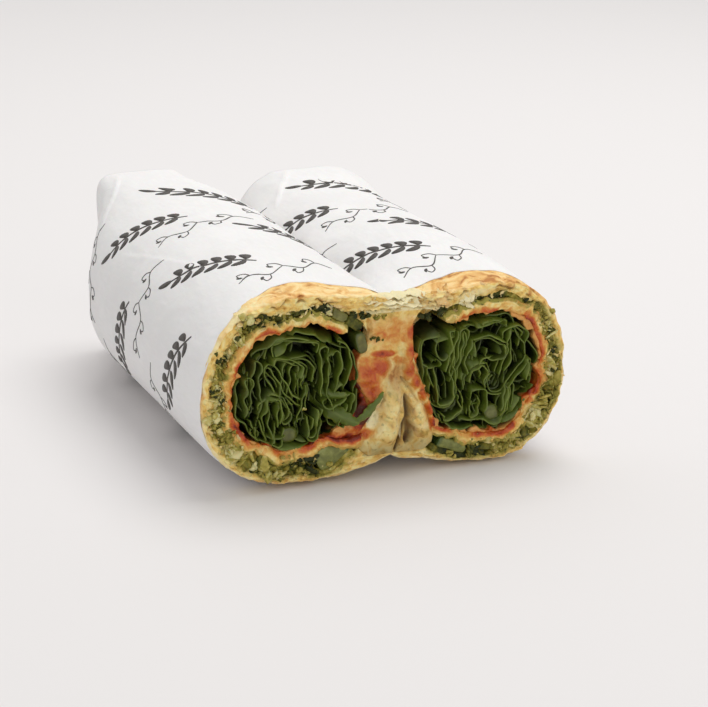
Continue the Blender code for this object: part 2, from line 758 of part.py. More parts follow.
def between_layers(name, roll, span, last, collection, material):
    """A piece that fills the room between the two bread layers over some angles."""
    def outside(a, y):
        return layer_curve(roll, roll.cavity, a, y, -GAP)

    def inside(a, y):
        return layer_curve(roll, roll.layer_out, a, y, GAP)

    return layer_solid(name, outside, inside, np.linspace(*span, 6), collection, material,
                       seed=roll.seed + 21, across=(0.5,), front=-0.4 * MM, last=last)


def make_peppers(collection, material):
    x, z, wide, tall, tilt = LOWER_PEPPER
    upper = between_layers("green_pepper_upper", LEFT, UPPER_PEPPER_SPAN, PEPPER_LENGTH, collection, material)
    lower = rounded_bar("green_pepper_lower", (x, z), (wide, tall), tilt, -BAR_EDGE, PEPPER_LENGTH, LEFT,
                        collection, material, squareness=3.5, count=12)
    return [upper, lower]


def place_on_origin(pieces):
    """Parents the pieces to an empty that puts the base's middle at the origin."""
    corners = np.array([tuple(vert.co) for piece in pieces for vert in piece.data.vertices])
    low, high = corners.min(axis=0), corners.max(axis=0)
    holder = bpy.data.objects.new("wrap_place", None)
    holder.location = (-(low[0] + high[0]) / 2, -(low[1] + high[1]) / 2, -low[2])
    bpy.context.scene.collection.objects.link(holder)
    for piece in pieces:
        piece.parent = holder


def main():
    clear_scene()
    wrap = new_collection("salad_naan_wrap")
    bread = plain_material("naan_bread", (0.80, 0.62, 0.33), 0.85)
    herbs = plain_material("herb_paste", (0.20, 0.26, 0.06), 0.6)
    sauce = plain_material("tomato_sauce", (0.62, 0.13, 0.03), 0.4)
    leaves = plain_material("salad_leaf", (0.05, 0.12, 0.02), 0.5)
    cucumber = plain_material("cucumber_flesh", (0.38, 0.46, 0.24), 0.4)
    stalk = plain_material("leaf_stalk", (0.36, 0.42, 0.18), 0.45)
    pepper = plain_material("green_pepper", (0.16, 0.30, 0.05), 0.4)
    paper = plain_material("wrap_paper", (0.86, 0.84, 0.82), 0.75)
    pieces = [make_naan(wrap, bread), make_paper(wrap, paper)]
    for roll in (LEFT, RIGHT):
        pieces.append(make_herbs(roll, wrap, herbs))
        pieces.append(make_sauce(roll, wrap, sauce))
        pieces.append(make_cucumber(roll, wrap, cucumber))
        pieces.append(make_salad(roll, wrap, leaves))
        pieces.append(make_stalk(roll, wrap, stalk))
    pieces.append(between_layers("herb_pocket_left", LEFT, HERB_POCKET_SPAN, FILLING_END, wrap, herbs))
    pieces += make_peppers(wrap, pepper)
    place_on_origin(pieces)


if __name__ == "__main__":
    main()
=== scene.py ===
"""The looks of a salad naan wrap, cut nearly through and folded open in its paper.

The file is laid out as an add-on: settings, one operator for each piece or group
of pieces, and a panel that lists them. Shapes are worked out in the cut's own
frame, where the cut faces lie in the plane y = 0 and look along -Y, the rolls run
back along +Y and the wrap rests on z = 0. SHIFT then carries them into the frame
of the solids. Angles are degrees round a roll's centre, from +X towards +Z.
"""

import itertools
import math
import random
from dataclasses import dataclass

import bmesh
import bpy
import numpy as np
from bpy.props import FloatProperty, FloatVectorProperty, IntProperty, PointerProperty
from mathutils import Matrix, Vector


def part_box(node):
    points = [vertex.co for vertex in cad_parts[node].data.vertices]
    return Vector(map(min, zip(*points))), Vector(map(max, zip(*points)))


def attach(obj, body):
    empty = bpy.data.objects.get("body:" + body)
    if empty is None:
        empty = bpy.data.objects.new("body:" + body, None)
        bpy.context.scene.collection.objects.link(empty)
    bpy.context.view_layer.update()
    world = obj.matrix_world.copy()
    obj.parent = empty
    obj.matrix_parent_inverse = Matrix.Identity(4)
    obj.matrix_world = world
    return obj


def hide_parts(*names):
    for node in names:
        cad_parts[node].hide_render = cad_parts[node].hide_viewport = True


bl_info = {
    "name": "Salad naan wrap",
    "version": (1, 0, 0),
    "blender": (4, 5, 0),
    "location": "View3D > Sidebar > Wrap",
    "description": "Builds a salad naan wrap in its paper around its plain solids",
    "category": "Add Mesh",
}

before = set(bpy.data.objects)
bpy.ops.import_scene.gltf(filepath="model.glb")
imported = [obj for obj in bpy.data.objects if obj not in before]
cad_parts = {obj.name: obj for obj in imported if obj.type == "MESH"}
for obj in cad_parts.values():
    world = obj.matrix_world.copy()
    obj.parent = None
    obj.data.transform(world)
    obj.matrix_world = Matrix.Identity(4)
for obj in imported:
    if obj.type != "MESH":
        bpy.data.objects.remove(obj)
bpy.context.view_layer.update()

MM = 0.001

# ---- the wrap's layout, as in its solids ----

GAP = 0.3 * MM
PAPER_WALL = 0.5 * MM
FLOOR_LIFT = GAP + PAPER_WALL
SETTLE = 0.6 * MM            # how far the underside is pressed flat
BODY_SQUARENESS = 2.2
LIP_END = 12 * MM
LIP_ROUNDING = 0.3
ROUND_FROM = 35 * MM
BREAD_END = 104 * MM
FILLING_END = 103 * MM
TAPER_FROM = 107 * MM
DISH_DEPTH = 4 * MM
LAYER_WAVE = 0.45 * MM
MIDDLE_X = -0.5 * MM         # plane between the rolls, at the cut
MIDDLE_DRIFT = 0.024         # its slope, x over y
MIDDLE_OVERLAP = 1.5 * MM
MIDDLE_SPAN = 31.0
CUCUMBER_STEP = (1.5, 2.6)
HERB_POCKET_SPAN = (38.0, 48.0)
UPPER_PEPPER_SPAN = (50.0, 63.0)
LOWER_PEPPER = (-12.4, 40.8, 1.7, 3.2, 14.0)
PEPPER_LENGTH = 14 * MM
STALK_LENGTH = 40 * MM
STALK_EDGE = 0.5 * MM


@dataclass
class Roll:
    """One half of the wrap. Radii are mm, at every 30 degrees from 0 to 330."""

    side: str
    centre: tuple  # x and z of the layers' centre in the cut face, mm
    axis_x: float  # x of the roll's own axis at the cut face, mm
    turn: float  # how far the roll is turned about Z, degrees
    half_width: float  # of the paper's ellipse, mm
    half_height: float
    skin: tuple  # outer edge of the bread in the cut face
    cavity: tuple  # inner face of the outer bread layer
    layer_out: tuple  # outer face of the inner bread layer
    layer_in: tuple  # inner face of the inner bread layer
    core: tuple  # edge of the salad
    layer_span: tuple  # angles from the free end to the joined end
    sauce_span: tuple
    herb_span: tuple
    cucumber_span: tuple
    cucumber_drop: float  # bread side of the cucumber, mm above the cavity
    paper_edge: tuple  # y of the paper's front edge, mm
    end_y: float  # back end of the paper, mm
    end_x: float  # x of the squeezed end's middle, mm
    end_half_width: float
    end_squareness: float
    end_lean: float  # how far the foot of the end's outer side is drawn in, mm
    stalk: tuple  # x, z, half width and half height, mm
    seed: int
    browning: tuple  # how brown the skin is, at every 30 degrees
    greening: tuple  # how much herb has coloured the crumb, likewise
    paleness: tuple  # how much the crumb is soft and pale, likewise
    soaking: tuple  # how much sauce has coloured the inner layer, likewise
    herb_tone: tuple  # from dark leaf at 0 to cheese at 1, likewise


LEFT = Roll(
    side="left",
    centre=(-33, 30),
    axis_x=-27.55,
    turn=-2.83,
    half_width=33.9,
    half_height=30,
    skin=(35.5, 39, 28.9, 26.2, 27, 27.1, 27.3, 28.8, 28.9, 28.3, 31.9, 40),
    cavity=(28.5, 26.8, 25, 22.4, 24, 23.4, 24, 26.2, 26.6, 25.6, 29.3, 26.8),
    layer_out=(24, 24, 22.2, 20.9, 21.1, 21.2, 21.1, 22.2, 21.8, 21.6, 22.6, 31.5),
    layer_in=(22, 21.6, 19.5, 19.2, 18.8, 19.1, 19.7, 19.8, 19.6, 19, 20.2, 28.6),
    core=(19.6, 19.9, 17.6, 17.4, 16.8, 17, 18, 18, 17.9, 17.2, 18.6, 20.4),
    layer_span=(42, 331),
    sauce_span=(57, 372),
    herb_span=(65, 312),
    cucumber_span=(288, 311),
    cucumber_drop=1.9,
    paper_edge=(8, 10, 11, 11, 5, 0.9, 0.6, 1.2, 3.5, 6, 8, 8),
    end_y=147,
    end_x=-25.6,
    end_half_width=15.6,
    end_squareness=7,
    end_lean=6.5,
    stalk=(-34, 15.6, 2.9, 2.3),
    seed=11,
    browning=(0.1, 0.35, 0.5, 0.6, 0.25, 0.1, 0.45, 0.1, 0.3, 0.4, 0.3, 0.1),
    greening=(0.1, 0.15, 0.2, 0.22, 0.4, 0.55, 0.5, 0.6, 0.8, 0.85, 0.7, 0.35),
    paleness=(0.5, 0.3, 0.25, 0.1, 0.35, 0.2, 0.25, 0.35, 0.1, 0.1, 0.2, 0.4),
    soaking=(0.2, 0, 0, 0.02, 0.08, 0.22, 0.24, 0.24, 0.2, 0.12, 0.3, 0.36),
    herb_tone=(0.3, 0.25, 0.1, 0.1, 0.3, 0.52, 0.64, 0.68, 0.46, 0.38, 0.32, 0.3),
)

RIGHT = Roll(
    side="right",
    centre=(24.5, 28.5),
    axis_x=25.2,
    turn=-1.10,
    half_width=29.75,
    half_height=29.5,
    skin=(29, 29.2, 28.6, 26.2, 27.5, 36.5, 30, 36.5, 28.8, 27.3, 29.8, 30.4),
    cavity=(27, 26.4, 25.2, 22.6, 22.8, 25, 21.6, 22.4, 26.9, 25.2, 27.8, 28.2),
    layer_out=(23.8, 24.2, 23.6, 21.2, 20.6, 21, 24, 27.5, 21.6, 21.2, 23, 23.5),
    layer_in=(21.7, 22.2, 21.1, 18.2, 17.8, 19, 22, 24.6, 19.7, 19.2, 21, 21.4),
    core=(19.9, 19.5, 19.3, 16.4, 16, 21.6, 17, 16.9, 17.9, 16.8, 19.2, 19.3),
    layer_span=(-150, 124),
    sauce_span=(160, 476),
    herb_span=(-121, 124),
    cucumber_span=(-120, -97),
    cucumber_drop=1.8,
    paper_edge=(1.5, 2.5, 8, 11, 10, 9, 8, 7, 7, 6, 4, 2),
    end_y=138,
    end_x=29.8,
    end_half_width=25,
    end_squareness=3.2,
    end_lean=0,
    stalk=(30.5, 14.9, 2.6, 2.4),
    seed=29,
    browning=(0.25, 0.6, 0.65, 0.7, 0.45, 0.3, 0.1, 0.2, 0.35, 0.4, 0.3, 0.25),
    greening=(0.75, 0.65, 0.35, 0.2, 0.2, 0.2, 0.1, 0.3, 0.6, 0.8, 0.85, 0.8),
    paleness=(0.3, 0.1, 0.1, 0.55, 0.4, 0.3, 0.5, 0.4, 0.3, 0.1, 0.1, 0.2),
    soaking=(0.22, 0.22, 0.12, 0, 0, 0, 0.1, 0.2, 0.16, 0.16, 0.16, 0.18),
    herb_tone=(0.66, 0.6, 0.36, 0.12, 0.15, 0.3, 0.3, 0.3, 0.3, 0.22, 0.4, 0.64),
)

ROLLS = (LEFT, RIGHT)

# Folded leaves: x and z of the bend's middle, half width and depth of the bend and the
# lengths of its two arms (mm), tilt of its opening (degrees, 90 opens upwards), and how
# many are nested in one another
FOLDS = {
    "left": (
        (-33, 42.4, 8, 2.6, 2, 4, 265, 2), (-31.5, 36, 5.6, 3.4, 4, 13, 262, 3),
        (-35.5, 37.6, 4.6, 1.5, 3, 2, 250, 2), (-41, 36.4, 1.7, 1.4, 17, 14, 306, 2),
        (-39.4, 25.6, 3.9, 4, 6, 9, 268, 3), (-44.8, 38.6, 1.2, 1.4, 17, 15, 269, 1),
        (-47.4, 33, 1.1, 2, 9, 12, 272, 1), (-24.2, 40, 1.5, 1.6, 20, 17, 274, 1),
        (-21.2, 38.4, 1.6, 1.8, 15, 9, 268, 1), (-17.2, 42, 1.5, 3, 17, 18, 266, 1),
        (-32.2, 34.2, 1.1, 1.2, 8, 11, 282, 2), (-29.6, 30.4, 1, 1.2, 9, 12, 266, 1),
        (-35.4, 22.2, 1.5, 1.8, 8, 6, 96, 1), (-43.2, 15.2, 1.8, 1.6, 5, 7, 112, 2),
        (-27.4, 15.4, 1.9, 1.6, 6, 9, 84, 2), (-22.6, 24.6, 1.8, 1.6, 7, 5, 38, 1),
        (-20.4, 19, 2, 1.6, 6, 8, 70, 1), (-16.4, 25, 1.6, 2, 7, 5, 250, 1),
        (-17.4, 18.4, 2, 1.6, 6, 5, 60, 1), (-38.2, 14.6, 1.4, 1.4, 7, 5, 78, 1),
    ),
    "right": (
        (13.9, 22.8, 4, 3.6, 9, 18, 94, 2), (8.2, 38, 6, 2.8, 1.6, 2.6, 2, 1),
        (11.2, 33, 1.3, 1.2, 3.6, 2.6, 214, 1), (12.6, 36.4, 1.6, 1.6, 6, 7.6, 84, 1),
        (15.9, 42, 1.2, 1.2, 11, 13, 272, 1), (19.6, 40.6, 1.4, 1.6, 18, 15, 266, 2),
        (27.6, 36.4, 5.8, 3, 4, 5, 258, 2), (30.2, 33.2, 2.8, 1.4, 2, 3, 90, 1),
        (24.8, 28.4, 3.8, 3.4, 5, 4.6, 264, 2), (27.6, 30.4, 3, 2, 1.6, 5, 300, 1),
        (31.2, 23.8, 4.6, 3.2, 2.6, 11, 62, 2), (36.4, 38.6, 3.9, 3, 4, 13, 262, 3),
        (41, 30, 1, 1.6, 5, 6, 272, 1), (28.4, 43, 5, 0.9, 1.2, 1.6, 268, 2),
        (17, 16.6, 4.4, 1.3, 2, 5, 112, 2), (25.6, 21.2, 2.4, 2.4, 7, 8, 264, 1),
        (24.4, 16.4, 1.3, 1.2, 4, 5, 94, 1), (35.6, 22.4, 1.8, 1.6, 7, 9, 256, 2),
        (36.8, 14.6, 1.6, 1.4, 5, 5, 70, 1), (22.2, 33.4, 1.1, 1.2, 6, 7, 262, 1),
    ),
}
FOLD_SPACING = 1.35      # mm between leaves nested in one another

# Leaves lying along the edge of the salad: first and last angle, distance inside the
# edge and how far the front leans over, mm
LINERS = {
    "left": (
        (46, 122, 0.5, 3.4), (96, 172, 0.8, 2), (150, 232, 0.5, 1.6), (226, 296, 0.7, 1.8),
        (296, 352, 0.8, 2), (62, 116, 3.4, 2.8), (128, 190, 2.6, 1.6), (238, 284, 2.8, 1.6),
        (-12, 44, 1.2, 2.2),
    ),
    "right": (
        (148, 232, 0.4, 1.5), (34, 104, 0.6, 2.6), (72, 140, 1.6, 2.4), (-24, 40, 0.6, 1.8),
        (236, 296, 0.6, 1.8), (294, 342, 0.8, 1.8), (156, 214, 2, 1.2), (10, 66, 2.8, 2),
        (252, 312, 2.6, 1.8),
    ),
}

# The loose leaf in front of the middle, in three blades: x, y, z and half width, mm
SPRIG = (
    ((-26, 6, 25.6, 1.2), (-23, 1.6, 23, 2), (-19.4, -1.6, 20.6, 2.3), (-16.4, -3, 19, 1.7),
     (-14, -3.6, 18.2, 0.7)),
    ((-14.6, -3.2, 18.4, 0.7), (-12.6, -3.9, 19.9, 1.15), (-10.4, -4.2, 22, 1.2), (-8.4, -4.4, 24.6, 0.8),
     (-7, -4.5, 27, 0.25)),
    ((-25, 3, 28, 0.7), (-22.4, 0.4, 26.8, 1.3), (-19.6, -1, 26.2, 1.2), (-17.2, -1.8, 26.6, 0.5)),
)

# Folds of the uncut middle: three points (x, z) from top to foot, half width at both
# ends and height, mm
MIDDLE_FOLDS = (
    ((-2.2, 28.5), (-3.4, 19.5), (-4.8, 8), 2.4, 5.4, 3),
    ((3.2, 26.5), (5.8, 18.5), (7.8, 9), 1.8, 4.2, 2.6),
    ((3.4, 45), (2.2, 33), (6.2, 25.5), 1.5, 1.9, 1.3),
    ((5.4, 27.5), (8.4, 21), (10.6, 14.5), 1.4, 1.6, 2.2),
    ((-12.8, 34), (-9, 30), (-7.6, 24), 3, 3.6, 1.3),
    ((-13, 11), (-8, 8.6), (-2.6, 7.2), 1.2, 1.6, 1.4),
    ((13, 9.4), (7, 7.8), (-0.6, 7.2), 1.2, 1.5, 1.4),
)

# Edges of the uncut middle's front: z, and x there, mm
MIDDLE_LEFT = (
    (5.6, 9, 13, 18, 24, 30, 36, 41, 44, 47, 51.4),
    (-9, -13.5, -15, -10.8, -12, -15, -15, -11.6, -10.4, -10.6, -13.4),
)
MIDDLE_RIGHT = (
    (5.6, 9, 12, 16, 22, 28, 34, 40, 45, 48, 51.4),
    (8, 12, 12.4, 12, 10.4, 8, 5.6, 5, 4.8, 6.6, 9.4),
)
MIDDLE_FOOT, MIDDLE_TOP = 5.6, 51.4

# Creases of the uncut middle, dented and darkened by painted shade: three points (x, z), width (mm) and their
# depth, which also sets the strength of the shade
MIDDLE_CREASES = (
    ((1.4, 24.5), (2.6, 17), (-1.4, 7), 0.8, 1), ((2.6, 16.6), (3.4, 12.8), (2.4, 9.4), 1.3, 0.9),
    ((0.2, 29.5), (2.6, 26.6), (5, 22), 0.6, 0.35),
)

# Where the sauce lies on the uncut middle: x, z, half width, half height (mm) and
# how much of it, from a tint at 0.3 to a thick red layer at 1
SAUCE_SMEARS = (
    (-10.4, 31, 4.4, 6.4, 0.76), (-6.8, 33.6, 4, 3.8, 0.8), (-5.6, 37, 4.4, 1.2, 0.92),
    (-9.4, 26.6, 3.8, 3.6, 0.76), (-3, 42.6, 7.6, 5.4, 0.5), (3.2, 43, 1.9, 4.2, 0.74),
    (2.7, 36.5, 1.8, 4, 0.74), (2.8, 31.6, 2.1, 3.2, 0.8), (4.8, 28, 2, 2.8, 0.74),
    (6.9, 24.4, 1.7, 3, 0.72), (8.9, 20, 1.6, 3.6, 0.74), (10.5, 15.2, 1.7, 3.2, 0.9),
    (-11.5, 14, 4.2, 1.9, 0.8), (-9.4, 23, 2, 2.6, 0.7), (-11.2, 17.6, 1.6, 3, 0.75),
    (-1, 34.8, 3, 1.8, 0.5),
)

# Chunks between the layers: x, z, size (mm) and tone, from 0 for dark herbs to 1 for
# pale cheese
CHUNKS = (
    (-57, 23.2, 2.8, 0.80), (-23, 51.6, 1.9, 0.95), (-46.8, 51.2, 2.3, 0.86), (-49.8, 49, 1.5, 0.8),
    (-53.4, 19.2, 1.7, 0.62), (-49, 11.4, 1.5, 0.6), (-42, 6.4, 1.5, 0.66), (-22, 5.6, 1.8, 0.66),
    (44.6, 10.2, 2, 0.86), (47.2, 17, 1.4, 0.6), (33.6, 4.6, 1.5, 0.62), (17, 4.3, 1.6, 0.62),
    (48.8, 44, 1.3, 0.5), (-55.4, 41, 1.6, 0.12), (-56.6, 31.5, 1.3, 0.1), (-54.4, 28, 1.4, 0.16),
    (-50.4, 45.2, 1.5, 0.14), (-7.2, 41.5, 1, 0.2), (-8.6, 41.9, 0.8, 0.3), (-5.8, 41, 0.7, 0.3),
    (-14.8, 49, 1.6, 0.04), (-12.6, 48.6, 1.5, 0.08), (-10.6, 48.4, 1.2, 0.12), (-7.8, 48.2, 1.2, 0.5),
    # The darkest clumps at x 6.6 and 8.4 are dark herbs that also stand as painted shade for the gap there.
    (-5.6, 47.9, 0.9, 0.55), (6.6, 47, 1.6, 0.05), (8.4, 45.8, 1.3, 0.1),
    (-29.4, 23.2, 0.7, 0.7), (-36.8, 3.9, 1.4, 0.35), (-31, 4.9, 1.5, 0.6), (26.5, 5.6, 1.6, 0.3),
    (50, 26.5, 1.3, 0.2), (49.6, 32.5, 1.4, 0.12), (48.6, 38, 1.3, 0.3), (47, 22, 1.5, 0.4),
)

# Torn flakes of crust: x, z, how far they spread each way (mm), how many, how pale and
# how brown
FLAKES = (
    (-7.6, 51.9, 4.6, 1.2, 10, 0.8, 0.1), (0.4, 51.6, 5.2, 1.8, 18, 1.1, 0), (11, 51.4, 5, 1.7, 26, 0.5, 0.5),
    (-15, 53, 4.5, 0.6, 8, 0.3, 0.5), (20.5, 50.4, 2.8, 1.2, 14, 0.9, 0.1),
    (-12.4, 6.4, 2.6, 0.8, 7, 0.3, 0.4), (3.2, 7.8, 3.2, 0.5, 8, 0.5, 0.3),
    (-46.5, 51, 3.2, 1.4, 10, 0.5, 0.2), (-24, 51, 2.6, 0.8, 8, 0.8, 0.1),
)

# Torn sheets of bread over the uncut middle: first and last x, z at both, how far back
# their middle lies and how far they reach from it, mm, and how pale
SHEETS = (
    (-16, -3, 51.4, 50.6, 0.6, 1.8, 0.5), (-12, 4.5, 52.6, 52.4, 1, 2.4, 0.9),
    (-8.5, 8, 53.6, 53.2, 2, 2.4, 1), (-6, 9.5, 51.2, 50.8, 0.4, 1.8, 0.9),
    (2.5, 14.5, 49.9, 48.6, 0.4, 1.6, 0.7), (6.5, 15.5, 52.6, 52.8, 0.8, 1.9, 0.4),
    (-9.5, 2.5, 49.6, 49.8, 0.2, 1.3, 0.6), (9, 20, 50.6, 51, 0.4, 1.5, 0.5),
)

# Grooves under the loose upper leaf of the crust: first and last angle, depth below
# the skin, mm
CRACKS = {
    "left": ((56, 112, 1.5), (116, 146, 1.1)),
    "right": ((42, 84, 1.7), (92, 142, 1.3)),
}

# Sharp creases in the paper: angle and depth (mm) of both ends, and height, mm
CREASES = {
    "left": ((150, 118, 96, 143, 0.5), (40, 112, 88, 140, 0.5),
             (118, 34, 146, 92, 0.25), (72, 62, 54, 108, 0.25)),
    "right": ((128, 112, 96, 136, 0.6), (60, 104, 100, 124, 0.6), (20, 110, 52, 136, 0.4),
              (104, 40, 88, 88, 0.25), (-6, 40, 14, 92, 0.25)),
}

CUT_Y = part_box("stalk_left")[0].y + STALK_EDGE
SHIFT = np.array([
    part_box("stalk_left")[0].x - (LEFT.stalk[0] - LEFT.stalk[2]) * MM,
    CUT_Y,
    0.0,
])

# ---- finer forms that only the looks have ----

ROUGHER = 0.55               # share of each finer noise
ANY_PHASE = (0, 6.28)
CRUMPLE = 0.85 * MM          # how far the layers' course strays
CRUMPLE_SIZE = 5.5 * MM
CRUMPLE_FADE = 4.5 * MM      # distance from the bread's outside where it is full
FRAY_DEPTH = 1.4 * MM        # how far back the torn edge reaches
PAPER_THICKNESS = 0.16 * MM
PRINT_LIFT = 0.08 * MM
PRINT_DEPTH = 0.04 * MM
PAPER_HUG = 0.16 * MM        # between the bread and the paper's outside at its front
FLAP_EDGE = 0.05             # softness of the folded flaps' edges, of half the end
STROKE_ROWS = 22
SPRAY_SIZE, VINE_SIZE = 14.5, 13.0
PRINT_FROM, PRINT_STEP = 24.0, 17.5  # mm behind the cut, and between the rows
HELD_BACK = 2.8 * MM         # of the cut faces behind the uncut middle
LEAF_PLACES = 36             # points along a leaf's fold
LEAF_LEAN = (0.5, -0.86)     # the way the leaves' fronts lean, in x and z
LEAN_REACH = 2.4 * MM        # how far back the lean is felt
RIM_REACH = 0.38 * MM
RIM_TO_FACE = 0.14           # power that turns the rim's fading into painted shade, darker further back on a leaf
END_RINGS = 42               # rings across the paper's folded end
SHEET_APART = 31.0           # spreads the torn sheets over the noise, so that they differ
FLAKE_SHAPE = (1.45, 0.95, 0.12)
FLAKE_FACING = (0.0, -0.75, 0.65)


def linear(red, green, blue):
    """A colour given in 0 to 255 display values, as linear light."""
    return tuple(
        (c / 255 / 12.92) if c <= 10 else ((c / 255 + 0.055) / 1.055) ** 2.4
        for c in (red, green, blue)
    )


# ---- curves and noise ----

def catmull_rom(before, here, there, after, t):
    bend = 2 * before - 5 * here + 4 * there - after + t * (3 * (here - there) + after - before)
    return here + 0.5 * t * (there - before + t * bend)


def around(values, degrees):
    """Smooth closed curve (Catmull-Rom) through values at equal angles."""
    values = np.asarray(values, dtype=float)
    count = len(values)
    place = np.asarray(degrees, dtype=float) / 360.0 * count
    base = np.floor(place).astype(int)
    return catmull_rom(*(values[(base + k) % count] for k in (-1, 0, 1, 2)), place - base)


def through(points, count):
    """Smooth open curve (Catmull-Rom) through a few points, at count places."""
    points = np.asarray(points, dtype=float)
    padded = np.vstack([2 * points[0] - points[1], points, 2 * points[-1] - points[-2]])
    place = np.linspace(0, len(points) - 1, count)
    base = np.minimum(place.astype(int), len(points) - 2)
    return catmull_rom(*(padded[base + k] for k in range(4)), (place - base)[:, None])


def ripple(degrees, seed, waves):
    """Uneven periodic wave between about -1 and 1: a sum of seeded sines."""
    draw = random.Random(seed)
    angle = np.radians(degrees)
    total = np.zeros_like(angle)
    for wave in waves:
        total += math.sqrt(2.0 / len(waves)) * 0.7 * np.sin(wave * angle + draw.uniform(0, 2 * math.pi))
    return total


def smooth_step(value):
    value = np.clip(value, 0.0, 1.0)
    return value * value * (3.0 - 2.0 * value)


def blended(first, second, share):
    return first * (1 - share) + second * share


def turned(u, v, degrees):
    cos, sin = math.cos(math.radians(degrees)), math.sin(math.radians(degrees))
    return u * cos - v * sin, u * sin + v * cos


def squared_circle(angle, squareness):
    """Unit superellipse: a circle at squareness 2, and squarer above it."""
    power = 2.0 / squareness
    across = np.sign(np.cos(angle)) * np.abs(np.cos(angle)) ** power
    up = np.sign(np.sin(angle)) * np.abs(np.sin(angle)) ** power
    return across, up


def cell_values(cells, seed):
    """Repeatable values from 0 to 1 for whole-number cells."""
    mixed = cells @ np.array([127.1, 311.7, 74.7]) + seed * 19.19
    return np.mod(np.sin(mixed) * 43758.5453, 1.0)


def value_noise(points, size, seed):
    """Smooth noise from -1 to 1: values at the corners of cubes, blended by 3t^2 - 2t^3."""
    place = points / size
    corner = np.floor(place)
    t = place - corner
    t = t * t * (3 - 2 * t)
    total = np.zeros(points.shape[:-1])
    for step in itertools.product((0, 1), repeat=3):
        weight = np.prod(np.where(np.array(step) == 1, t, 1 - t), axis=-1)
        total += weight * cell_values(corner + np.array(step), seed)
    return total * 2 - 1


def rough_noise(points, size, seed, octaves=3):
    """Sum of value noises, each half the size and ROUGHER times the strength of the last."""
    total = np.zeros(points.shape[:-1])
    for k in range(octaves):
        total += ROUGHER ** k * value_noise(points, size * 0.5 ** k, seed + 7 * k)
    return total


def hole_noise(points, size, seed):
    """0 at scattered pits and 1 away from them: distance to a random point per cube."""
    place = points / size
    corner = np.floor(place)
    nearest = np.full(points.shape[:-1], 9.0)
    for step in itertools.product((-1, 0, 1), repeat=3):
        cell = corner + np.array(step)
        spot = np.stack([cell_values(cell, seed + k) for k in range(3)], axis=-1)
        nearest = np.minimum(nearest, np.linalg.norm(cell + spot - place, axis=-1))
    return np.clip(nearest, 0.0, 1.0)


def drift(roll, y):
    """How far the roll's axis has moved along X at depth y."""
    return -math.tan(math.radians(roll.turn)) * y


# ---- surfaces of the rolls ----

def skin_grid(roll, degrees, depth, distance=0.0):
    """Points on the bread's outside, or at a distance over it, for a column of angles.

    The cut's outline turns into an ellipse by ROUND_FROM, and past TAPER_FROM into
    the squarish form of the squeezed paper.
    """
    angle, depth = np.broadcast_arrays(np.radians(degrees), depth)
    radius = around(roll.skin, np.degrees(angle)) * MM
    front_x = roll.centre[0] * MM + radius * np.cos(angle)
    front_z = roll.centre[1] * MM + radius * np.sin(angle)
    wide = roll.half_width * MM - FLOOR_LIFT
    tall = roll.half_height * MM - FLOOR_LIFT
    across, up = squared_circle(angle, BODY_SQUARENESS)
    body_x = roll.axis_x * MM + wide * across
    body_z = roll.half_height * MM - SETTLE + tall * up
    across, up = squared_circle(angle, roll.end_squareness)
    end_middle = roll.end_x * MM - drift(roll, roll.end_y * MM)
    drawn_in = roll.end_lean * MM * (1 - up) / 2 * (1 - across) / 2
    end_x = end_middle + roll.end_half_width * MM * across + drawn_in
    end_z = roll.half_height * MM + tall * up
    rounding = np.interp(depth, (0.0, LIP_END, ROUND_FROM), (0.0, LIP_ROUNDING, 1.0))
    squeeze = smooth_step((depth - TAPER_FROM) / (roll.end_y * MM - TAPER_FROM))
    x = blended(blended(front_x, body_x, rounding), end_x, squeeze) + drift(roll, depth)
    z = np.maximum(blended(blended(front_z, body_z, rounding), end_z, squeeze), FLOOR_LIFT)
    if np.any(distance):
        along_x = np.roll(x, -1, axis=0) - np.roll(x, 1, axis=0)
        along_z = np.roll(z, -1, axis=0) - np.roll(z, 1, axis=0)
        length = np.hypot(along_x, along_z)
        x = x + distance * along_z / length
        z = np.maximum(z - distance * along_x / length, FLOOR_LIFT - distance)
    return np.stack([x, depth, z], axis=-1)


def polar_points(roll, radius, degrees, depth):
    """Points at a radius and angle round the roll's centre, carried back along it."""
    radius, angle, depth = np.broadcast_arrays(radius, np.radians(degrees), depth)
    x = roll.centre[0] * MM + radius * np.cos(angle) + drift(roll, depth)
    z = roll.centre[1] * MM + radius * np.sin(angle)
    return np.stack([x, depth, z], axis=-1)


def crumple(roll, points):
    """Pushes points sideways by a smooth noise that all layers share.

    It fades towards the bread's outside, and neighbours stay in touch.
    """
    x = points[..., 0] - roll.centre[0] * MM - drift(roll, points[..., 1])
    z = points[..., 2] - roll.centre[1] * MM
    degrees = np.degrees(np.arctan2(z, x))
    room = around(roll.skin, degrees) * MM - np.hypot(x, z)
    push = CRUMPLE * smooth_step(room / CRUMPLE_FADE)
    place = points * (1.0, 0.2, 1.0)
    moved = points.copy()
    moved[..., 0] += push * value_noise(place, CRUMPLE_SIZE, roll.seed)
    moved[..., 2] += push * value_noise(place, CRUMPLE_SIZE, roll.seed + 1)
    return moved


def wave(roll, degrees):
    return LAYER_WAVE * ripple(degrees, roll.seed, (5, 8, 13))


def boundary(roll, radius, degrees, depth):
    """A layer boundary through a radius (mm) for each angle."""
    return crumple(roll, polar_points(roll, radius * MM + wave(roll, degrees), degrees, depth))


# ---- meshes ----

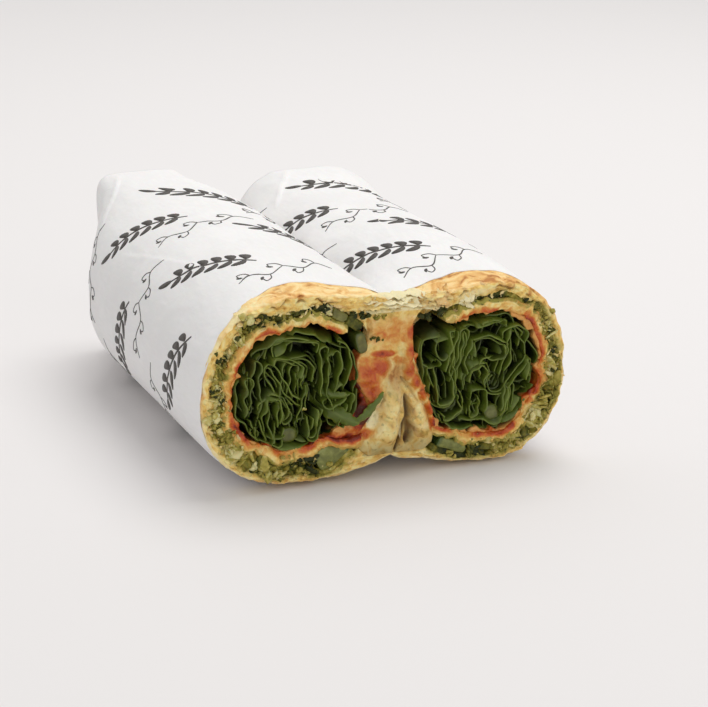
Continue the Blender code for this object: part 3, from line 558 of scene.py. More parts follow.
def make_mesh(name, points, quads, triangles, marks):
    """A mesh of the points that its faces use, with marks as attributes."""
    used, corners = np.unique(np.concatenate([quads.ravel(), triangles.ravel()]), return_inverse=True)
    starts = np.concatenate([np.arange(len(quads)) * 4, quads.size + np.arange(len(triangles)) * 3])
    mesh = bpy.data.meshes.new(name)
    mesh.vertices.add(len(used))
    mesh.vertices.foreach_set("co", (points[used] + SHIFT).astype(np.float32).ravel())
    mesh.loops.add(len(corners))
    mesh.loops.foreach_set("vertex_index", corners.astype(np.int32))
    mesh.polygons.add(len(starts))
    mesh.polygons.foreach_set("loop_start", starts.astype(np.int32))
    mesh.update(calc_edges=True)
    for key, values in marks.items():
        attribute = mesh.attributes.new(key, "FLOAT", "POINT")
        attribute.data.foreach_set("value", values.reshape(-1)[used].astype(np.float32))
    return mesh


def sweep_object(name, grids, material, marks=None, closed_rows=False, weld=0.0):
    """A mesh from grids of points: loops (the columns) carried along rows.

    grids is rows x columns x 3, or several such grids of one size. Columns close.
    With closed_rows the last row joins the first, otherwise each end is closed at
    its middle. Faces are turned outwards by the sign of each grid's volume.
    marks are values for each point, kept as attributes of the mesh. Points closer
    than weld are joined.
    """
    grids = np.asarray(grids, dtype=float)
    marks = dict(marks or {})
    if grids.ndim == 3:
        grids = grids[None]
        marks = {key: np.asarray(value)[None] for key, value in marks.items()}
    marks = {key: np.broadcast_to(value, grids.shape[:3]) for key, value in marks.items()}
    if not closed_rows:
        ends = [np.broadcast_to(grids[:, k:k + 1].mean(axis=2, keepdims=True), grids[:, :1].shape)
                for k in (0, grids.shape[1] - 1)]
        grids = np.concatenate([ends[0], grids, ends[1]], axis=1)
        marks = {key: np.concatenate([v[:, :1], v, v[:, -1:]], axis=1) for key, v in marks.items()}
    count, rows, columns, _ = grids.shape
    number = np.arange(count * rows * columns).reshape(count, rows, columns)
    if not closed_rows:
        number[:, 0] = number[:, 0, :1]
        number[:, -1] = number[:, -1, :1]
    here = number if closed_rows else number[:, :-1]
    there = np.roll(number, -1, axis=1) if closed_rows else number[:, 1:]
    corners = np.stack([here, there, np.roll(there, -1, axis=2), np.roll(here, -1, axis=2)], axis=-1)
    flat = grids.reshape(-1, 3)
    middle = grids.mean(axis=(1, 2))[:, None, None]
    a, b, c, d = (flat[corners[..., k]] - middle for k in range(4))
    volume = np.einsum("...i,...i", a, np.cross(b, c) + np.cross(c, d))
    inward = volume.sum(axis=(1, 2)) < 0
    corners[inward] = corners[inward][..., ::-1]
    corners = corners.reshape(-1, 4)
    apart = corners != np.roll(corners, -1, axis=1)
    triangle = ~apart.all(axis=1)
    fans = corners[triangle][apart[triangle]].reshape(-1, 3)
    mesh = make_mesh(name, flat, corners[~triangle], fans, marks)
    if weld:
        build = bmesh.new()
        build.from_mesh(mesh)
        bmesh.ops.remove_doubles(build, verts=build.verts, dist=weld)
        build.to_mesh(mesh)
        build.free()
    mesh.validate()
    mesh.shade_smooth()
    mesh.materials.append(material)
    return add_object(name, mesh)


def add_object(name, data):
    added = bpy.data.objects.new(name, data)
    bpy.context.scene.collection.objects.link(added)
    return added


def settle_piece(piece, slot, *nodes):
    """The piece rides with the wrap and stands for nodes, whose solids it hides; slot is not used."""
    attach(piece, "root")
    if nodes:
        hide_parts(*nodes)


# ---- finishes ----

class Finish:
    """A material in the making: each method adds a node and returns its output."""

    def __init__(self, name, **sockets):
        self.material = bpy.data.materials.new(name)
        self.material.use_nodes = True
        self.tree = self.material.node_tree
        self.shader = self.tree.nodes["Principled BSDF"]
        for key, value in sockets.items():
            self.shader.inputs[key.replace("_", " ")].default_value = value
        self.place = self.add("ShaderNodeTexCoord", {}).outputs["Object"]

    def add(self, kind, inputs, **settings):
        node = self.tree.nodes.new(kind)
        for key, value in settings.items():
            setattr(node, key, value)
        for key, value in inputs.items():
            if isinstance(value, bpy.types.NodeSocket):
                self.tree.links.new(value, node.inputs[key])
            else:
                node.inputs[key].default_value = value
        return node

    def plug(self, name, value):
        self.tree.links.new(value, self.shader.inputs[name])

    def noise(self, size, detail=3.0, place=None, distortion=0.0):
        """Soft noise from 0 to 1, with patches of that size in metres."""
        inputs = {"Vector": place or self.place, "Scale": 1.0 / size, "Detail": detail,
                  "Distortion": distortion}
        return self.add("ShaderNodeTexNoise", inputs).outputs["Fac"]

    def varied(self, name, size, strength, detail=4.0, distortion=0.6):
        """A piece's own attribute, made uneven by noise of that size and strength."""
        centred = self.math("SUBTRACT", self.noise(size, detail, distortion=distortion), 0.5)
        return self.math("ADD", self.mark(name), self.times(centred, strength))

    def weighted(self, *terms):
        """Sum of values, each times its weight."""
        total = 0.0
        for value, weight in terms:
            total = self.math("ADD", self.times(value, weight), total)
        return total

    def cells(self, size):
        inputs = {"Vector": self.place, "Scale": 1.0 / size}
        return self.add("ShaderNodeTexVoronoi", inputs).outputs["Distance"]

    def mark(self, name):
        return self.add("ShaderNodeAttribute", {}, attribute_name=name).outputs["Fac"]

    def course(self):
        """Coordinates along and across a layer, from the piece's own attributes."""
        inputs = {"X": self.mark("arc"), "Y": self.mark("ply")}
        return self.add("ShaderNodeCombineXYZ", inputs).outputs["Vector"]

    def stretched(self, place, scale):
        return self.add("ShaderNodeMapping", {"Vector": place, "Scale": scale}).outputs["Vector"]

    def ramp(self, factor, *stops):
        """Colour for a factor; stops are (place, colour)."""
        node = self.add("ShaderNodeValToRGB", {"Fac": factor})
        elements = node.color_ramp.elements
        while len(elements) < len(stops):
            elements.new(0.5)
        for element, (place, colour) in zip(elements, stops):
            element.position = place
            element.color = (*colour, 1.0)
        return node.outputs["Color"]

    def band(self, factor, low, high):
        """0 below low, 1 above high, smooth between."""
        inputs = {"Value": factor, "From Min": low, "From Max": high}
        return self.add("ShaderNodeMapRange", inputs, interpolation_type="SMOOTHSTEP").outputs["Result"]

    def blend(self, factor, first, second):
        first, second = (
            value if isinstance(value, bpy.types.NodeSocket) else (*value, 1.0)
            for value in (first, second)
        )
        return self.add("ShaderNodeMix", {0: factor, 6: first, 7: second}, data_type="RGBA").outputs[2]

    def math(self, operation, first, second):
        return self.add("ShaderNodeMath", {0: first, 1: second}, operation=operation).outputs[0]

    def times(self, first, second):
        return self.math("MULTIPLY", first, second)

    def bump(self, height, distance, strength=1.0, under=None):
        inputs = {"Height": height, "Distance": distance, "Strength": strength}
        if under:
            inputs["Normal"] = under
        return self.add("ShaderNodeBump", inputs).outputs["Normal"]


def bread_finish(settings):
    """Baked flatbread: pale layered crumb, blotchy brown skin, herb and sauce stains."""
    look = Finish("naan_baked", Roughness=0.72, Subsurface_Weight=0.12, Subsurface_Scale=0.004,
                  Subsurface_Radius=(1.0, 0.55, 0.25))
    course = look.course()
    plies = look.noise(0.0011, 3.0, look.stretched(course, (0.22, 1.0, 1.0)))
    mottle = look.noise(0.0032, 5.0, distortion=0.9)
    crumb = look.ramp(
        look.weighted((plies, 0.4), (mottle, 0.6)),
        (0.34, linear(186, 136, 58)), (0.47, settings.crumb_colour), (0.60, linear(244, 226, 156)),
    )
    soft = look.band(look.varied("pale", 0.0028, 0.5), 0.3, 0.8)
    crumb = look.blend(soft, crumb, settings.pale_colour)
    green = look.band(look.varied("green", 0.0038, 1.2), 0.32, 0.82)
    crumb = look.blend(green, crumb, settings.herb_stain)
    specks = look.band(look.noise(0.0015, 4.0), 0.58, 0.66)
    specks = look.times(specks, look.mark("green"))
    crumb = look.blend(specks, crumb, linear(66, 76, 26))
    browned = look.varied("brown", 0.0048, 2.2, 5.0, 1.0)
    skin = look.ramp(
        browned,
        (0.10, linear(248, 228, 172)), (0.45, linear(243, 207, 140)), (0.78, settings.skin_colour),
        (1.0, linear(186, 124, 60)),
    )
    toast = look.band(look.noise(0.0024, 3.0), 0.60, 0.70)
    toast = look.times(toast, look.mark("brown"))
    skin = look.blend(look.times(toast, 0.6), skin, settings.toast_colour)
    colour = look.blend(look.band(look.varied("baked", 0.0035, 0.8), 0.35, 0.75), crumb, skin)
    sauced = look.varied("stain", 0.0026, 0.85)
    sauce = look.ramp(sauced, (0.30, linear(228, 172, 84)), (0.48, linear(214, 144, 58)),
                      (0.62, linear(206, 110, 38)), (0.84, linear(184, 70, 18)), (1.0, linear(122, 32, 8)))
    stain = look.band(sauced, 0.14, 0.5)
    colour = look.blend(stain, colour, sauce)
    # Painted shade: the crease mark blends the colour towards dark brown in creases, grooves and hollows
    # where shade falls. On the middle it also carries a toasted patch.
    look.plug("Base Color", look.blend(look.mark("crease"), colour, linear(92, 60, 28)))
    look.plug("Roughness", look.math("SUBTRACT", 0.78, look.times(stain, 0.38)))
    rough = look.bump(look.noise(0.0009, 4.0), 0.0004, 0.7)
    look.plug("Normal", look.bump(mottle, 0.0009, 0.6, look.bump(plies, 0.0003, 0.4, rough)))
    return look.material


def sauce_finish(settings):
    """Tomato sauce: moist, orange where it is thin and dark red where it is thick, with painted shade that
    turns it near black further back from the cut.
    """
    look = Finish("tomato_sauce_wet", Roughness=0.4, Specular_IOR_Level=0.35, Subsurface_Weight=0.08,
                  Subsurface_Scale=0.002, Subsurface_Radius=(1.0, 0.3, 0.1))
    tone = look.varied("tone", 0.0026, 1.3, 5.0, 0.8)
    colour = look.ramp(tone, (0.06, settings.sauce_dark), (0.30, settings.sauce_colour),
                       (0.52, linear(200, 106, 36)), (0.82, linear(220, 160, 86)))
    # Painted shade: the sauce turns near black further back from the cut face.
    colour = look.blend(look.mark("depth_and_shade"), colour, linear(30, 16, 5))
    look.plug("Base Color", colour)
    look.plug("Normal", look.bump(look.noise(0.0012, 4.0), 0.0005, 0.7))
    return look.material


def herb_finish(settings):
    """Chopped herbs in a paste: each bit's own tone runs from dark leaf to cheese."""
    look = Finish("herb_paste_moist", Roughness=0.55, Specular_IOR_Level=0.3, Subsurface_Weight=0.1,
                  Subsurface_Scale=0.002)
    jitter = look.times(look.math("SUBTRACT", look.noise(0.0016, 4.0), 0.5), 0.7)
    tone = look.math("ADD", look.mark("tone"), jitter)
    colour = look.ramp(tone, (0.02, settings.herb_dark), (0.28, settings.herb_colour),
                       (0.50, linear(136, 126, 44)), (0.72, linear(184, 170, 84)),
                       (0.92, settings.cheese_colour))
    look.plug("Base Color", colour)
    look.plug("Normal", look.bump(look.noise(0.0007, 4.0), 0.0004, 0.6))
    return look.material


def leaf_finish(settings):
    """Salad leaf: dark satin faces with fine veins, and a paler cut rim, partly the cut's own colour and
    partly painted highlight.
    """
    look = Finish("salad_leaf_satin", Roughness=0.42, Subsurface_Weight=0.12, Subsurface_Scale=0.0012,
                  Subsurface_Radius=(0.4, 1.0, 0.2))
    tone = look.math("ADD", look.mark("tone"), look.times(look.noise(0.004, 3.0), 0.5))
    face = look.ramp(tone, (0.05, settings.leaf_dark), (0.9, settings.leaf_colour))
    # The rim is partly the cut edges' own paler green and partly a painted highlight where they catch the
    # light.
    rim = look.times(look.mark("rim"), look.band(look.noise(0.0045, 2.0), 0.25, 0.6))
    colour = look.blend(rim, face, settings.rim_colour)
    look.plug("Base Color", colour)
    look.plug("Normal", look.bump(look.cells(0.0018), 0.00025, 0.45))
    return look.material


def flesh_finish(name, inside, outside, roughness):
    """Moist vegetable flesh with faint streaks, and a darker skin where marked."""
    look = Finish(name, Roughness=roughness, Subsurface_Weight=0.3, Subsurface_Scale=0.003,
                  Subsurface_Radius=(0.7, 1.0, 0.4), Coat_Weight=0.15, Coat_Roughness=0.25)
    streak = look.noise(0.0022, 4.0, distortion=0.5)
    paler = tuple(min(1.0, c * 1.35 + 0.02) for c in inside)
    darker = tuple(c * 0.68 for c in inside)
    flesh = look.ramp(streak, (0.32, darker), (0.5, inside), (0.68, paler))
    look.plug("Base Color", look.blend(look.mark("rind"), flesh, outside))
    look.plug("Normal", look.bump(look.noise(0.0015, 3.0), 0.0003, 0.4))
    return look.material


def paper_finish(settings):
    """Thin white food paper: faint fibres, soft creases, hardly any gloss."""
    look = Finish("wrap_paper_matt", Roughness=0.62, Subsurface_Weight=0.08, Subsurface_Scale=0.002)
    fibres = look.noise(0.0013, 5.0, look.stretched(look.place, (1.0, 0.3, 1.0)))
    cloud = look.noise(0.02, 3.0)
    white = settings.paper_colour
    shade = tuple(c * 0.955 for c in white)
    mixed = look.weighted((fibres, 0.4), (cloud, 0.6))
    look.plug("Base Color", look.blend(look.band(mixed, 0.40, 0.62), shade, white))
    crinkle = look.bump(look.noise(0.007, 4.0, distortion=1.5), 0.0006, 0.35)
    look.plug("Normal", look.bump(fibres, 0.00008, 0.5, crinkle))
    return look.material


def ink_finish(settings):
    """Warm dark grey print, a little uneven."""
    look = Finish("paper_print_ink", Roughness=0.6)
    ink = settings.ink_colour
    lighter = tuple(c * 1.7 + 0.01 for c in ink)
    look.plug("Base Color", look.ramp(look.noise(0.0009, 4.0), (0.35, ink), (0.75, lighter)))
    return look.material


# ---- settings ----

def length_setting(name, description, millimetres):
    return FloatProperty(name=name, description=description, default=millimetres * MM, min=0.0,
                         unit="LENGTH", precision=5)


def colour_setting(name, thing, *display):
    return FloatVectorProperty(name=name, description=f"Colour of {thing}", default=linear(*display),
                               size=3, min=0.0, max=1.0, subtype="COLOR")


class BreadSettings(bpy.types.PropertyGroup):
    skin_relief: length_setting("Skin relief", "Height of the blisters on the baked skin", 0.3)
    shreds: IntProperty(name="Shreds", description="Shreds of bread in each roll's herbs", default=220, min=0)
    crumb_relief: length_setting("Crumb relief", "Depth of the torn crumb at the cut", 0.75)
    fray: length_setting("Fray", "How uneven the torn edge of the skin is", 0.32)
    skin_colour: colour_setting("Skin", "the browned skin", 226, 174, 100)
    toast_colour: colour_setting("Toast", "the darkest baked spots", 152, 92, 42)
    crumb_colour: colour_setting("Crumb", "the crumb at the cut", 236, 198, 110)
    pale_colour: colour_setting("Pale crumb", "soft crumb without a crust", 247, 234, 186)
    herb_stain: colour_setting("Herb stain", "crumb that has soaked up herbs", 156, 146, 62)


class FillingSettings(bpy.types.PropertyGroup):
    lump: length_setting("Lump height", "Height of the lumps in sauce and herbs", 0.7)
    bits: IntProperty(name="Bits", description="Chopped bits in each roll's herbs", default=520, min=0)
    bit_size: length_setting("Bit size", "Half the length of a typical chopped bit", 1.25)
    sauce_colour: colour_setting("Sauce", "the tomato sauce", 162, 54, 10)
    sauce_dark: colour_setting("Thick sauce", "sauce where it is thick", 86, 22, 4)
    herb_colour: colour_setting("Herbs", "the herb paste", 88, 88, 22)
    herb_dark: colour_setting("Dark herbs", "the darkest herb leaves", 36, 44, 6)
    cheese_colour: colour_setting("Cheese", "the crumbled cheese", 222, 212, 152)
    cucumber_colour: colour_setting("Cucumber", "the cucumber's flesh", 118, 122, 54)
    cucumber_rind: colour_setting("Rind", "the cucumber's skin", 52, 78, 36)
    pepper_colour: colour_setting("Green pepper", "the green pepper", 102, 99, 31)


class SaladSettings(bpy.types.PropertyGroup):
    thickness: length_setting("Leaf thickness", "Thickness of a salad leaf", 0.42)
    depth: length_setting("Leaf depth", "How far back the folded leaves reach", 11.0)
    wave: length_setting("Leaf wave", "How unevenly the leaves' front edges stand", 1.1)
    fillers: IntProperty(name="Inner leaves", description="Folds that fill the gaps", default=46, min=0)
    leaf_colour: colour_setting("Leaf", "the leaves' lighter faces", 84, 100, 26)
    # Dark leaf is also the colour that the painted shade darkens the leaves towards, further back from their
    # fronts.
    leaf_dark: colour_setting("Dark leaf", "the leaves' darker faces", 24, 31, 6)
    # The rim colour is partly the cut edges' own paler green and partly a painted highlight.
    rim_colour: colour_setting("Rim", "the leaves' cut rims", 112, 126, 40)
    stalk_colour: colour_setting("Stalk", "the stalks' cut ends", 92, 95, 32)


class PaperSettings(bpy.types.PropertyGroup):
    wrinkle: length_setting("Wrinkles", "Height of the paper's wrinkles, against the usual 1 mm", 1.0)
    print_width: length_setting("Stroke width", "Width of the print's thin strokes", 0.42)
    paper_colour: colour_setting("Paper", "the paper", 241, 237, 236)
    ink_colour: colour_setting("Ink", "the print", 62, 58, 54)


class StageSettings(bpy.types.PropertyGroup):
    floor_size: FloatProperty(name="Floor", description="Width of the floor", default=12.0, unit="LENGTH")
    floor_colour: colour_setting("Floor", "the floor and its surroundings", 229, 227, 227)
    key_power: FloatProperty(name="Key light", description="Power of the light overhead", default=10.0)
    fill_power: FloatProperty(name="Fill light", description="Power of the light in front", default=3.0)
    sky: FloatProperty(name="Surroundings", description="Strength of the even light", default=0.6)


# ---- bread ----

def clip_middle(roll, points, overlap):
    """Cuts off the side that meets the other roll, by clamping x at the middle plane."""
    limit = MIDDLE_X + MIDDLE_DRIFT * points[..., 1]
    if roll.side == "left":
        points[..., 0] = np.minimum(points[..., 0], limit + overlap)
    else:
        points[..., 0] = np.maximum(points[..., 0], limit - overlap)
    return points


def push_out(roll, points, height):
    """Moves points away from the roll's centre line by a height for each."""
    away = points - np.array([roll.centre[0] * MM, 0.0, roll.centre[1] * MM])
    away[..., 1] = 0.0
    away /= np.linalg.norm(away, axis=-1, keepdims=True)
    return points + away * height[..., None]


def crumb_height(roll, degrees, share, thickness, settings):
    """Relief of a torn cut: streaks along the layer, lumps and pits.

    The noise is drawn on the arc length, shortened so that it streaks, and on the
    distance across the layer.
    """
    arc = np.radians(degrees) * 0.5 * (roll.half_width + roll.half_height) * MM
    across = share * thickness
    arc, across = np.broadcast_arrays(arc, across)
    flat = np.stack([arc, across, np.zeros_like(arc)], axis=-1)
    streaks = rough_noise(flat * (0.4, 1.0, 1.0), 1.1 * MM, roll.seed + 3)
    lumps = rough_noise(flat, 3.0 * MM, roll.seed + 4)
    pits = 1.0 - hole_noise(flat, 1.9 * MM, roll.seed + 5)
    return settings.crumb_relief * (0.4 * streaks + 0.75 * lumps + 0.9 * pits ** 3)


def grooves(roll, degrees, below):
    """1 in the grooves under the crust's loose upper leaf, and where that leaf lies.

    A groove is exp(-((depth - course) / 0.3 mm)^2), on a course that wavers.
    """
    degrees = np.mod(degrees, 360.0)
    groove, leaf = np.zeros(below.shape), np.zeros(below.shape)
    for first, last, place in CRACKS[roll.side]:
        on = smooth_step((degrees - first) / 9.0) * smooth_step((last - degrees) / 9.0)
        on = on * smooth_step(0.7 + 1.1 * ripple(degrees, roll.seed + last, (11, 17, 29)))
        course = place + 0.5 * ripple(degrees, roll.seed + first, (7, 19, 33))
        groove = np.maximum(groove, on * np.exp(-((below / MM - course) / 0.3) ** 2))
        leaf = np.maximum(leaf, on * (below / MM < course))
    return groove, leaf


def beside_middle(roll, degrees):
    """Degrees between a direction and the one that looks at the other roll."""
    middle = 0.0 if roll.side == "left" else 180.0
    return np.abs((degrees - middle + 180.0) % 360.0 - 180.0)


def behind_middle(points):
    """Holds points back where the uncut middle lies in front of them."""
    x, z = points[..., 0] / MM, points[..., 2] / MM
    behind = smooth_step((x + 12) / 4) * smooth_step((12 - x) / 4) * smooth_step((z - 6.5) / 2.5)
    limit = HELD_BACK * behind * smooth_step((50 - z) / 2) - 2 * MM * (behind == 0)
    points[..., 1] = np.maximum(points[..., 1], limit)
    return points


def bread_marks(**own):
    """All that the bread's finish reads from a piece: 0 for what is not given."""
    return dict.fromkeys(("baked", "brown", "green", "pale", "arc", "ply", "stain", "crease"), 0.0) | own


def bread_overlap(y):
    """How far a roll's bread runs past the middle: held back behind the paper."""
    return MIDDLE_OVERLAP - (MIDDLE_OVERLAP + 0.8 * MM) * smooth_step((y - LIP_END) / (4 * MM))


def outer_bread(roll, material, settings):
    """The outer layer: skin, torn cut face and inner face, carried round the roll.

    Where it lies behind the uncut middle, its cut face is held back.
    """
    first = 0.0 if roll.side == "left" else 180.0
    degrees = first + np.linspace(0.0, 360.0, 560, endpoint=False)[:, None]
    near = np.linspace(15 * MM, 0.5 * MM, 26)
    outer = skin_grid(roll, degrees, np.append([BREAD_END, 60 * MM, 30 * MM, 20 * MM], near))
    fade = smooth_step((LIP_END + 2 * MM - outer[..., 1]) / (5 * MM))
    blister = 0.8 * rough_noise(outer, 4.5 * MM, roll.seed + 6)
    blister += 0.5 * rough_noise(outer, 1.6 * MM, roll.seed + 8)
    round_edge = polar_points(roll, 22 * MM, degrees, 0.0)
    tear = settings.fray * rough_noise(round_edge, 2.2 * MM, roll.seed + 9)
    edge = np.exp(-outer[..., 1] / FRAY_DEPTH)
    covered = smooth_step((outer[..., 1] - around(roll.paper_edge, degrees) * MM) / (1.5 * MM))
    relief = fade * (settings.skin_relief * blister + tear * edge)
    outer = push_out(roll, outer, relief * (1 - 0.8 * covered) - 0.1 * MM * covered)
    outer = clip_middle(roll, outer, bread_overlap(outer[..., 1]))
    cut_out = push_out(roll, skin_grid(roll, degrees, 0.0), tear - 0.25 * MM)
    cut_out = clip_middle(roll, cut_out, MIDDLE_OVERLAP)
    cavity = around(roll.cavity, degrees)
    cut_in = boundary(roll, cavity, degrees, 0.0)
    tear_in = settings.fray * rough_noise(cut_in, 1.7 * MM, roll.seed + 10)
    cut_in = push_out(roll, cut_in, tear_in)
    share = np.linspace(0.0, 1.0, 26)[None, :]
    face = blended(cut_out, cut_in, share[..., None])
    thickness = np.linalg.norm(cut_out - cut_in, axis=-1)
    below = share * thickness
    groove, leaf = grooves(roll, degrees, below)
    crown = 4 * share * (1 - share)
    face[..., 1] = -0.55 * MM * crown + crumb_height(roll, degrees, share, thickness, settings)
    face[..., 1] += 1.1 * MM * groove - 0.25 * MM * leaf
    face = behind_middle(face)
    back_depths = np.array([1.2, 3.0, 6.0, 12.0, 40.0]) * MM
    inner = boundary(roll, cavity, degrees, np.append(back_depths, BREAD_END))
    inner = push_out(roll, inner, tear_in * np.exp(-inner[..., 1] / FRAY_DEPTH))
    grid = np.concatenate([outer, face, inner], axis=1)

    def along(on_skin, on_face, on_inner):
        parts = ((on_skin, outer), (on_face, face), (on_inner, inner))
        return np.concatenate([np.broadcast_to(v, part.shape[:2]) for v, part in parts], axis=1)

    crust = smooth_step(1 - below / (0.55 * MM)) * 0.9
    marks = bread_marks(
        baked=along(1.0, np.maximum(crust, 0.62 * leaf), 0.0),
        brown=around(roll.browning, degrees),
        green=around(roll.greening, degrees) * along(0.2, 0.2 + 0.8 * share, 1.0),
        pale=around(roll.paleness, degrees) * along(0.0, crown, 0.0),
        arc=np.radians(degrees) * roll.half_height * MM,
        ply=along(outer[..., 1], below, inner[..., 1] + thickness),
        # Painted shade in the grooves under the crust's loose upper leaf.
        crease=along(0.0, 0.5 * groove, 0.0),
    )
    piece = sweep_object(f"naan_outer_{roll.side}", grid, material, marks, closed_rows=True)
    settle_piece(piece, "naan_bread", "naan")


def layer_grid(roll, out, into, degrees, front, relief, face_steps=12, last=FILLING_END):
    """A filling layer between two boundaries, as loops carried round the roll.

    out and into are radii for the angles. The cut face bulges by a half ellipse, and
    relief gives the height of its lumps. Also gives each point's share across.
    """
    back = np.array([last, 20 * MM, 6 * MM, 2.5 * MM, 0.9 * MM])
    outer = boundary(roll, out, degrees, back)
    inner = boundary(roll, into, degrees, back[::-1])
    share = np.linspace(0.0, 1.0, face_steps)[None, :]
    face = blended(boundary(roll, out, degrees, 0.0), boundary(roll, into, degrees, 0.0), share[..., None])
    bulge = np.sqrt(np.clip(1 - (2 * share - 1) ** 2, 0, 1))
    face[..., 1] = front - 0.4 * MM * bulge
    face[..., 1] -= relief(face, share) * (0.35 + 0.65 * bulge)
    grid = np.concatenate([outer, face, inner], axis=1)
    across = np.concatenate([np.zeros(back.shape), share[0], np.ones(back.shape)])
    return grid, across + 0.0 * degrees


def thin_ends(degrees, span, reach):
    """1 along a layer, falling to 0 at both ends by a quarter circle over reach degrees."""
    near = np.clip(np.minimum(degrees - span[0], span[1] - degrees) / reach, 0.0, 1.0)
    return np.sqrt(1 - (1 - near) ** 2)


def narrowed(out, into, full):
    """Both sides of a layer, drawn together to a share of its width."""
    middle = (out + into) / 2
    return middle + (out - middle) * full, middle - (middle - into) * full


def inner_bread(roll, material, settings):
    """The inner layer of naan, with sauce soaked into its inner side."""
    thickness = 3.2 * MM
    degrees = np.linspace(*roll.layer_span, 430)[:, None]
    full = thin_ends(degrees, roll.layer_span, 5.0)
    out, into = around(roll.layer_out, degrees) + 0.35, around(roll.layer_in, degrees) - 0.9
    out, into = narrowed(out, into, full)
    patch = smooth_step(0.5 + 0.6 * ripple(degrees, roll.seed + 42, (3, 5, 9)))
    uneven = 0.5 * ripple(degrees, roll.seed + 41, (4, 7, 12))
    uneven += 0.8 * patch * ripple(degrees, roll.seed + 40, (19, 31, 47))
    out, into = out + uneven, into + uneven * 0.4

    def relief(points, share):
        rough = 0.9 * MM * rough_noise(points, 5 * MM, roll.seed + 12)
        return crumb_height(roll, degrees, share, thickness, settings) + rough

    grid, across = layer_grid(roll, out, into, degrees, -0.5 * MM, relief, 16)
    grid = behind_middle(grid)
    red = smooth_step(0.45 + 0.7 * ripple(degrees, roll.seed + 43, (4, 7, 11)))
    soaked = smooth_step((across - 0.4) / 0.5) * (0.2 + 0.42 * red) + 0.8 * around(roll.soaking, degrees)
    green = 0.9 * smooth_step((0.45 - across) / 0.35) + 0.4 * patch
    marks = bread_marks(baked=0.35, brown=0.45, green=green, arc=np.radians(degrees) * 20 * MM,
                        ply=across * thickness, stain=0.1 + soaked)
    settle_piece(sweep_object(f"naan_inner_{roll.side}", grid, material, marks), "naan_bread", "naan")


def soft_spot(x, z, spot_x, spot_z, half_width, half_height):
    """1 in the middle of an ellipse, falling smoothly to 0 outside it."""
    reach = ((x - spot_x) / half_width) ** 2 + ((z - spot_z) / half_height) ** 2
    return np.exp(-reach ** 1.3)


def beside_line(x, z, points):
    """Distance of each place from a smooth line through points, and its share along it."""
    line = through(points, 50)
    apart = np.hypot(x[..., None] - line[:, 0], z[..., None] - line[:, 1])
    return apart.min(axis=-1), apart.argmin(axis=-1) / 49.0


def middle_form(x, z, points):
    """Height of the middle's folds in mm, and how much painted shade darkens their creases.

    A fold stands height * (1 - (distance from its course / half width)^2), and it
    rises out of the bread over its first part. The highest fold shows, and where
    two are equally high they meet in a dented line, besides the creases that are
    listed. Both are darkened by painted shade.
    """
    stray = 0.5 * value_noise(points, 6 * MM, 55)
    heights, crease = [], np.zeros_like(x)
    for *line, narrow, wide, tall in MIDDLE_FOLDS:
        off, down = beside_line(x, z, line)
        off = (off + stray) / (narrow + (wide - narrow) * down)
        rise = smooth_step(down / 0.5 + 0.15) * (1 - 0.85 * smooth_step((14.0 - z) / 6.5))
        heights.append(tall * rise * np.clip(1 - off ** 2, 0, 1))
    folds = np.sort(np.stack(heights), axis=0)
    meeting = 0.8 * np.exp(-(folds[-1] - folds[-2]) / 0.25) * smooth_step((folds[-2] - 0.4) / 0.6)
    for *line, width, depth_and_shade in MIDDLE_CREASES:
        off, down = beside_line(x, z, line)
        taper = np.sqrt(np.clip(1 - (2 * down - 1) ** 2, 0.02, 1))
        crease = np.maximum(crease, depth_and_shade * np.exp(-((off + 0.25 * stray) / (width * taper)) ** 2))
    height = folds[-1] - 0.5 * meeting - 2.2 * crease
    # The dents where folds meet and the listed creases also give the strength of the painted shade there.
    return height, np.maximum(meeting, crease)


